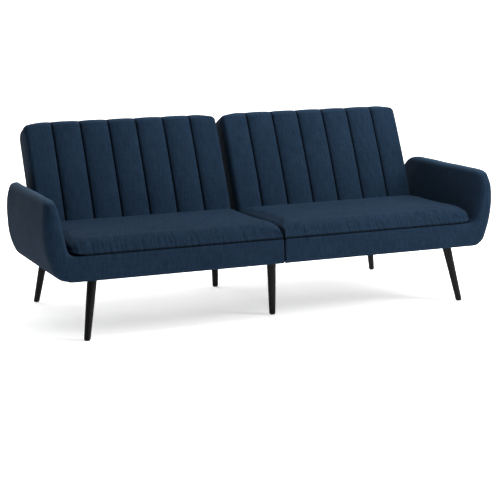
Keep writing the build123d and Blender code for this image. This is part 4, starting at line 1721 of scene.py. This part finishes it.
    def build(self, finishes: Finishes) -> Piece:
        """Carries the outline along the width, quilts it, cuts the hinge recesses and lays its cloth.

        Towards either end the outline shrinks to a line up the middle, and is folded shut along it.

        Args:
            finishes: the sofa's materials.

        Returns:
            The back cover.
        """
        place, out, s = self.profile()
        x, inset, share = self.stations()
        depth = self.quilting(x, place, out, s) + self.rounding(x, inset, place, out)
        outline = place - out * depth[..., None]
        cut, inside = self.slotted(place, s)
        in_slot = np.any([(x > low) & (x < high) for low, high in self.slots], axis=0)
        outline = np.where((in_slot[:, None] & inside)[..., None], cut, outline)
        middle = np.stack([np.zeros(len(s)), np.clip(place[:, 1], 0.0, self.length - self.half)], axis=1)
        outline = middle + (outline - middle) * share[:, None, None]
        points = mirrored(self.stood(x, outline).reshape(-1, 3), self.side)
        rows, columns = len(x), len(s)
        half_way = np.abs(place[:, 1] - self.length / 2.0)
        behind, before = np.argmin(half_way + (place[:, 0] < 0)), np.argmin(half_way + (place[:, 0] > 0))
        fold = int(behind + before) // 2
        ends = [folded_cap(first, columns, fold) for first in (0, (rows - 1) * columns)]
        quads = np.concatenate([ring_faces(rows, columns), *ends])
        piece = make_piece(f"{self.side.word}_back_cover_quilted", points, quads)
        self.lay_cloth(piece)
        dress(piece, finishes.back_cloth)
        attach(piece, f"{self.side.word}_back")
        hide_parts(f"{self.side.word}_back_pad", f"{self.side.word}_back_cover")
        return piece

    def lay_cloth(self, piece: Piece) -> None:
        """Lays the weave along the channels, paints shade into the seams and marks a painted highlight on the
        rubbed top edge.

        The painted shade in a seam is a bell curve of the distance from it.

        Args:
            piece: the back cover.
        """
        place = coordinates(piece.data)
        x, dy, dz = np.abs(place[:, 0]), place[:, 1] - self.axis_y, place[:, 2] - self.axis_z
        up = dy * math.sin(self.tilt) + dz * math.cos(self.tilt)
        across = dy * math.cos(self.tilt) - dz * math.sin(self.tilt)
        across = across - self.bow * np.clip(up / self.length, 0.0, 1.0) ** 2
        ratio = (x - self.start) / self.pitch
        line = np.round(ratio)
        dark = np.exp(-((np.abs(ratio - line) * self.pitch / self.seam_width) ** 2))
        front = eased(across, *self.seam_fade)
        # Painted shade along each seam groove, on the front only.
        store(piece, "seam", self.seam_dark * dark * ((line > 0) & (line < self.channels)) * front)
        # Painted highlight along the rubbed top edge.
        store(piece, "rub", self.rub * eased(up - self.length, *self.rub_fade))
        lay_weave(piece)


# ------------------------------------------------------------------ legs
@dataclass
class Leg:
    """One round tapered leg with a softened foot and shoulder."""

    name: str
    top: Pair
    foot: Pair
    top_radius: float = 0.0205
    foot_radius: float = 0.0135
    low: float = 0.004
    high: float = 0.244
    edge: float = 0.0015

    def build(self, finishes: Finishes) -> Piece:
        """Turns the leg as level circles from foot to shoulder.

        Centre and radius run straight between the two, and both edges stand back by an ellipse quarter.

        Args:
            finishes: the sofa's materials.

        Returns:
            The leg.
        """
        bend = np.linspace(0.0, np.pi / 2, 6)
        height = self.high - self.low
        z = np.concatenate(
            [
                self.low + self.edge * (1.0 - np.cos(bend[:-1])),
                self.low + self.edge + (height - 2.0 * self.edge) * np.linspace(0.0, 1.0, 24),
                self.high - self.edge * (1.0 - np.sin(bend[1:])),
            ]
        )
        t = (z - self.low) / height
        radius = self.foot_radius + (self.top_radius - self.foot_radius) * t
        radius -= arc_inset(z - self.low, self.edge) + arc_inset(self.high - z, self.edge)
        turn = np.linspace(0.0, 2.0 * np.pi, 64, endpoint=False)
        centre = np.array(self.foot) + (np.array(self.top) - np.array(self.foot)) * t[:, None]
        x = centre[:, 0, None] + radius[:, None] * np.cos(turn)
        y = centre[:, 1, None] + radius[:, None] * np.sin(turn)
        rings = np.stack([x, y, np.broadcast_to(z[:, None], x.shape)], axis=-1)
        piece = make_piece(f"{self.name}_turned", *capped(rings))
        dress(piece, finishes.black_lacquer)
        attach(piece, "base")
        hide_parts(self.name)
        return piece


@dataclass
class Undercarriage:
    """The six legs and every metal or timber node that keeps its CAD shape."""

    side_top: float = 0.810
    side_foot: float = 0.851
    front_top: float = -0.3835
    front_foot: float = -0.4235
    rear_top: float = 0.4015
    rear_foot: float = 0.4470
    centre_front: float = -0.3065

    def legs(self) -> list[Leg]:
        """Sets out the four splayed corner legs and the two upright centre legs.

        Returns:
            The six legs.
        """
        made = []
        rows = (("front", self.front_top, self.front_foot), ("rear", self.rear_top, self.rear_foot))
        for side in Side:
            for word, top, foot in rows:
                ends = ((side.value * self.side_top, top), (side.value * self.side_foot, foot))
                made.append(Leg(f"{side.word}_{word}_leg", *ends))
        for word, y in (("front", self.centre_front), ("rear", self.rear_top)):
            made.append(Leg(f"{word}_centre_leg", (0.0, y), (0.0, y)))
        return made

    def build(self, finishes: Finishes) -> None:
        """Makes the legs and gives each remaining CAD node its finish.

        Args:
            finishes: the sofa's materials.
        """
        for leg in self.legs():
            report(leg.build(finishes))
        rules = (
            ("glides", finishes.glide_plastic),
            ("bolts", finishes.zinc_plate),
            ("pins", finishes.zinc_plate),
            ("slats", finishes.birch),
            ("board", finishes.plywood),
            ("dust_cover", finishes.lining),
            ("core", finishes.foam),
            ("leg", finishes.black_lacquer),
        )
        for name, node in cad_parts.items():
            chosen = next((finish for word, finish in rules if word in name), finishes.powder_coat)
            dress(node, chosen)
            log.info("finish %s on %s", chosen.name, name)


# ------------------------------------------------------------------ studio
@dataclass(frozen=True)
class SoftLight:
    """One square area light, aimed at a point."""

    name: str
    place: tuple[float, float, float]
    target: tuple[float, float, float]
    size: float
    power: float

    def build(self) -> None:
        """Adds the light to the scene."""
        data = bpy.data.lights.new(self.name, "AREA")
        data.shape, data.size, data.energy = "SQUARE", self.size, self.power
        turn = (Vector(self.target) - Vector(self.place)).to_track_quat("-Z", "Y").to_matrix().to_4x4()
        added(self.name, data).matrix_world = Matrix.Translation(Vector(self.place)) @ turn


@dataclass
class Studio:
    """Pale floor, soft lights and the camera."""

    eye: tuple[float, float, float] = (-2.2855, -5.8834, 1.2972)
    yaw: float = 22.649
    pitch: float = 9.585
    roll: float = -1.090
    lens: float = 102.96
    sensor: float = 36.0
    shift: float = -0.060
    floor_side: float = 16.0
    floor_front: float = -14.0
    floor_rear: float = 6.0
    wall_round: float = 4.0
    wall_height: float = 6.0
    bright_side: tuple[float, float, float] = (0.85, -0.10, 0.50)
    surround: Pair = (0.06, 0.62)
    lights: tuple[SoftLight, ...] = (
        SoftLight("overhead", (1.3, -0.6, 3.7), (0.4, -0.2, 0.0), 3.0, 220.0),
        SoftLight("key", (3.3, -2.6, 2.3), (0.2, -0.1, 0.45), 1.6, 155.0),
        SoftLight("rim", (-1.2, 3.6, 3.0), (0.0, 0.0, 0.45), 3.0, 90.0),
    )

    def camera(self) -> None:
        """Places the camera: forward from yaw and pitch, then turned by its roll."""
        yaw, pitch, roll = (math.radians(value) for value in (self.yaw, self.pitch, self.roll))
        right = Vector((math.cos(yaw), -math.sin(yaw), 0.0))
        ahead = Vector((math.sin(yaw) * math.cos(pitch), math.cos(yaw) * math.cos(pitch), -math.sin(pitch)))
        upward = right.cross(ahead)
        turned_right = math.cos(roll) * right + math.sin(roll) * upward
        turned_up = -math.sin(roll) * right + math.cos(roll) * upward
        data = bpy.data.cameras.new("camera")
        data.lens, data.sensor_width, data.shift_x = self.lens, self.sensor, self.shift
        camera = added("camera", data)
        axes = Matrix((turned_right, turned_up, -ahead)).transposed()
        camera.matrix_world = Matrix.Translation(Vector(self.eye)) @ axes.to_4x4()
        bpy.context.scene.camera = camera

    def floor(self) -> None:
        """A wide pale floor that turns up into a wall far behind: level, a quarter circle, then upright."""
        t = np.linspace(0.0, 1.0, 40)
        level = t < 0.55
        bend = np.clip((t - 0.55) / 0.30, 0.0, 1.0) * np.pi / 2
        run = self.floor_front + t / 0.55 * (self.floor_rear - self.floor_front)
        y = np.where(level, run, self.floor_rear + self.wall_round * np.sin(bend))
        z = np.where(level, 0.0, self.wall_round * (1.0 - np.cos(bend)))
        z += np.clip(t - 0.85, 0.0, None) / 0.15 * self.wall_height
        sides = np.array([[-self.floor_side, 0.0, 0.0], [self.floor_side, 0.0, 0.0]])
        points = (np.stack([np.zeros(len(t)), y, z], axis=1)[:, None] + sides).reshape(-1, 3)
        row = 2 * np.arange(len(t) - 1)[:, None]
        quads = np.concatenate([row, row + 1, row + 3, row + 2], axis=1)
        mesh = bpy.data.meshes.new("floor")
        mesh.from_pydata(points.tolist(), [], quads.tolist())
        shade_round(mesh)
        floor = added("floor", mesh)
        dress(floor, self.floor_paint())

    @staticmethod
    def floor_paint() -> bpy.types.Material:
        """Builds a white paint that glows as painted light: faintly near the sofa and to its left, and more
        strongly elsewhere away from it.

        Returns:
            The material.
        """
        graph = Graph.of_material("pale_floor")
        place = graph.place()
        speck = graph.noise(place, 3.0, 3.0, 0.5)
        x, y, z = graph.parts(place)
        far = (x * x + y * y + z * z).root().ramp(0.6, 3.2) * (x * -1.0).ramp(1.3, 2.6, 1.0, 0.0)
        graph.set(
            Base_Color=graph.mix(speck, (0.92, 0.92, 0.92), (0.94, 0.94, 0.94)),
            Roughness=speck.ramp(0.0, 1.0, 0.75, 0.85),
            Specular_IOR_Level=0.1,
            # Painted light: the glow lifts the sofa's shadow on the floor and lights the sofa from below,
            # less on its left.
            Emission_Color=graph.mix(far, (0.36, 0.36, 0.36), (0.95, 0.95, 0.95)),
            Emission_Strength=1.0,
        )
        return graph.owner

    def surroundings(self) -> None:
        """An even surround that is brighter towards one side."""
        graph = Graph(bpy.data.worlds.new("surround"), "ShaderNodeBackground", "ShaderNodeOutputWorld")
        way = graph.node("ShaderNodeTexCoord", output="Generated")
        inputs = {0: way, 1: self.bright_side}
        facing = graph.node("ShaderNodeVectorMath", {"operation": "DOT_PRODUCT"}, inputs, "Value")
        graph.set(Color=(1.0, 1.0, 1.0), Strength=facing.ramp(-0.7, 0.7, *self.surround))
        bpy.context.scene.world = graph.owner
        bpy.context.scene.view_settings.view_transform = "Standard"

    def build(self) -> None:
        """Sets camera, floor, lights and surround."""
        self.camera()
        self.floor()
        for lamp in self.lights:
            lamp.build()
        self.surroundings()


def main() -> None:
    """Builds the sofa's looks in order."""
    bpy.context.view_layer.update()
    finishes = Finishes()
    Studio().build()
    Undercarriage().build(finishes)
    for side in Side:
        for part in (ArmShell(side), SeatCushion(side), BackCushion(side)):
            report(part.build(finishes))


if __name__ == "__main__":
    main()
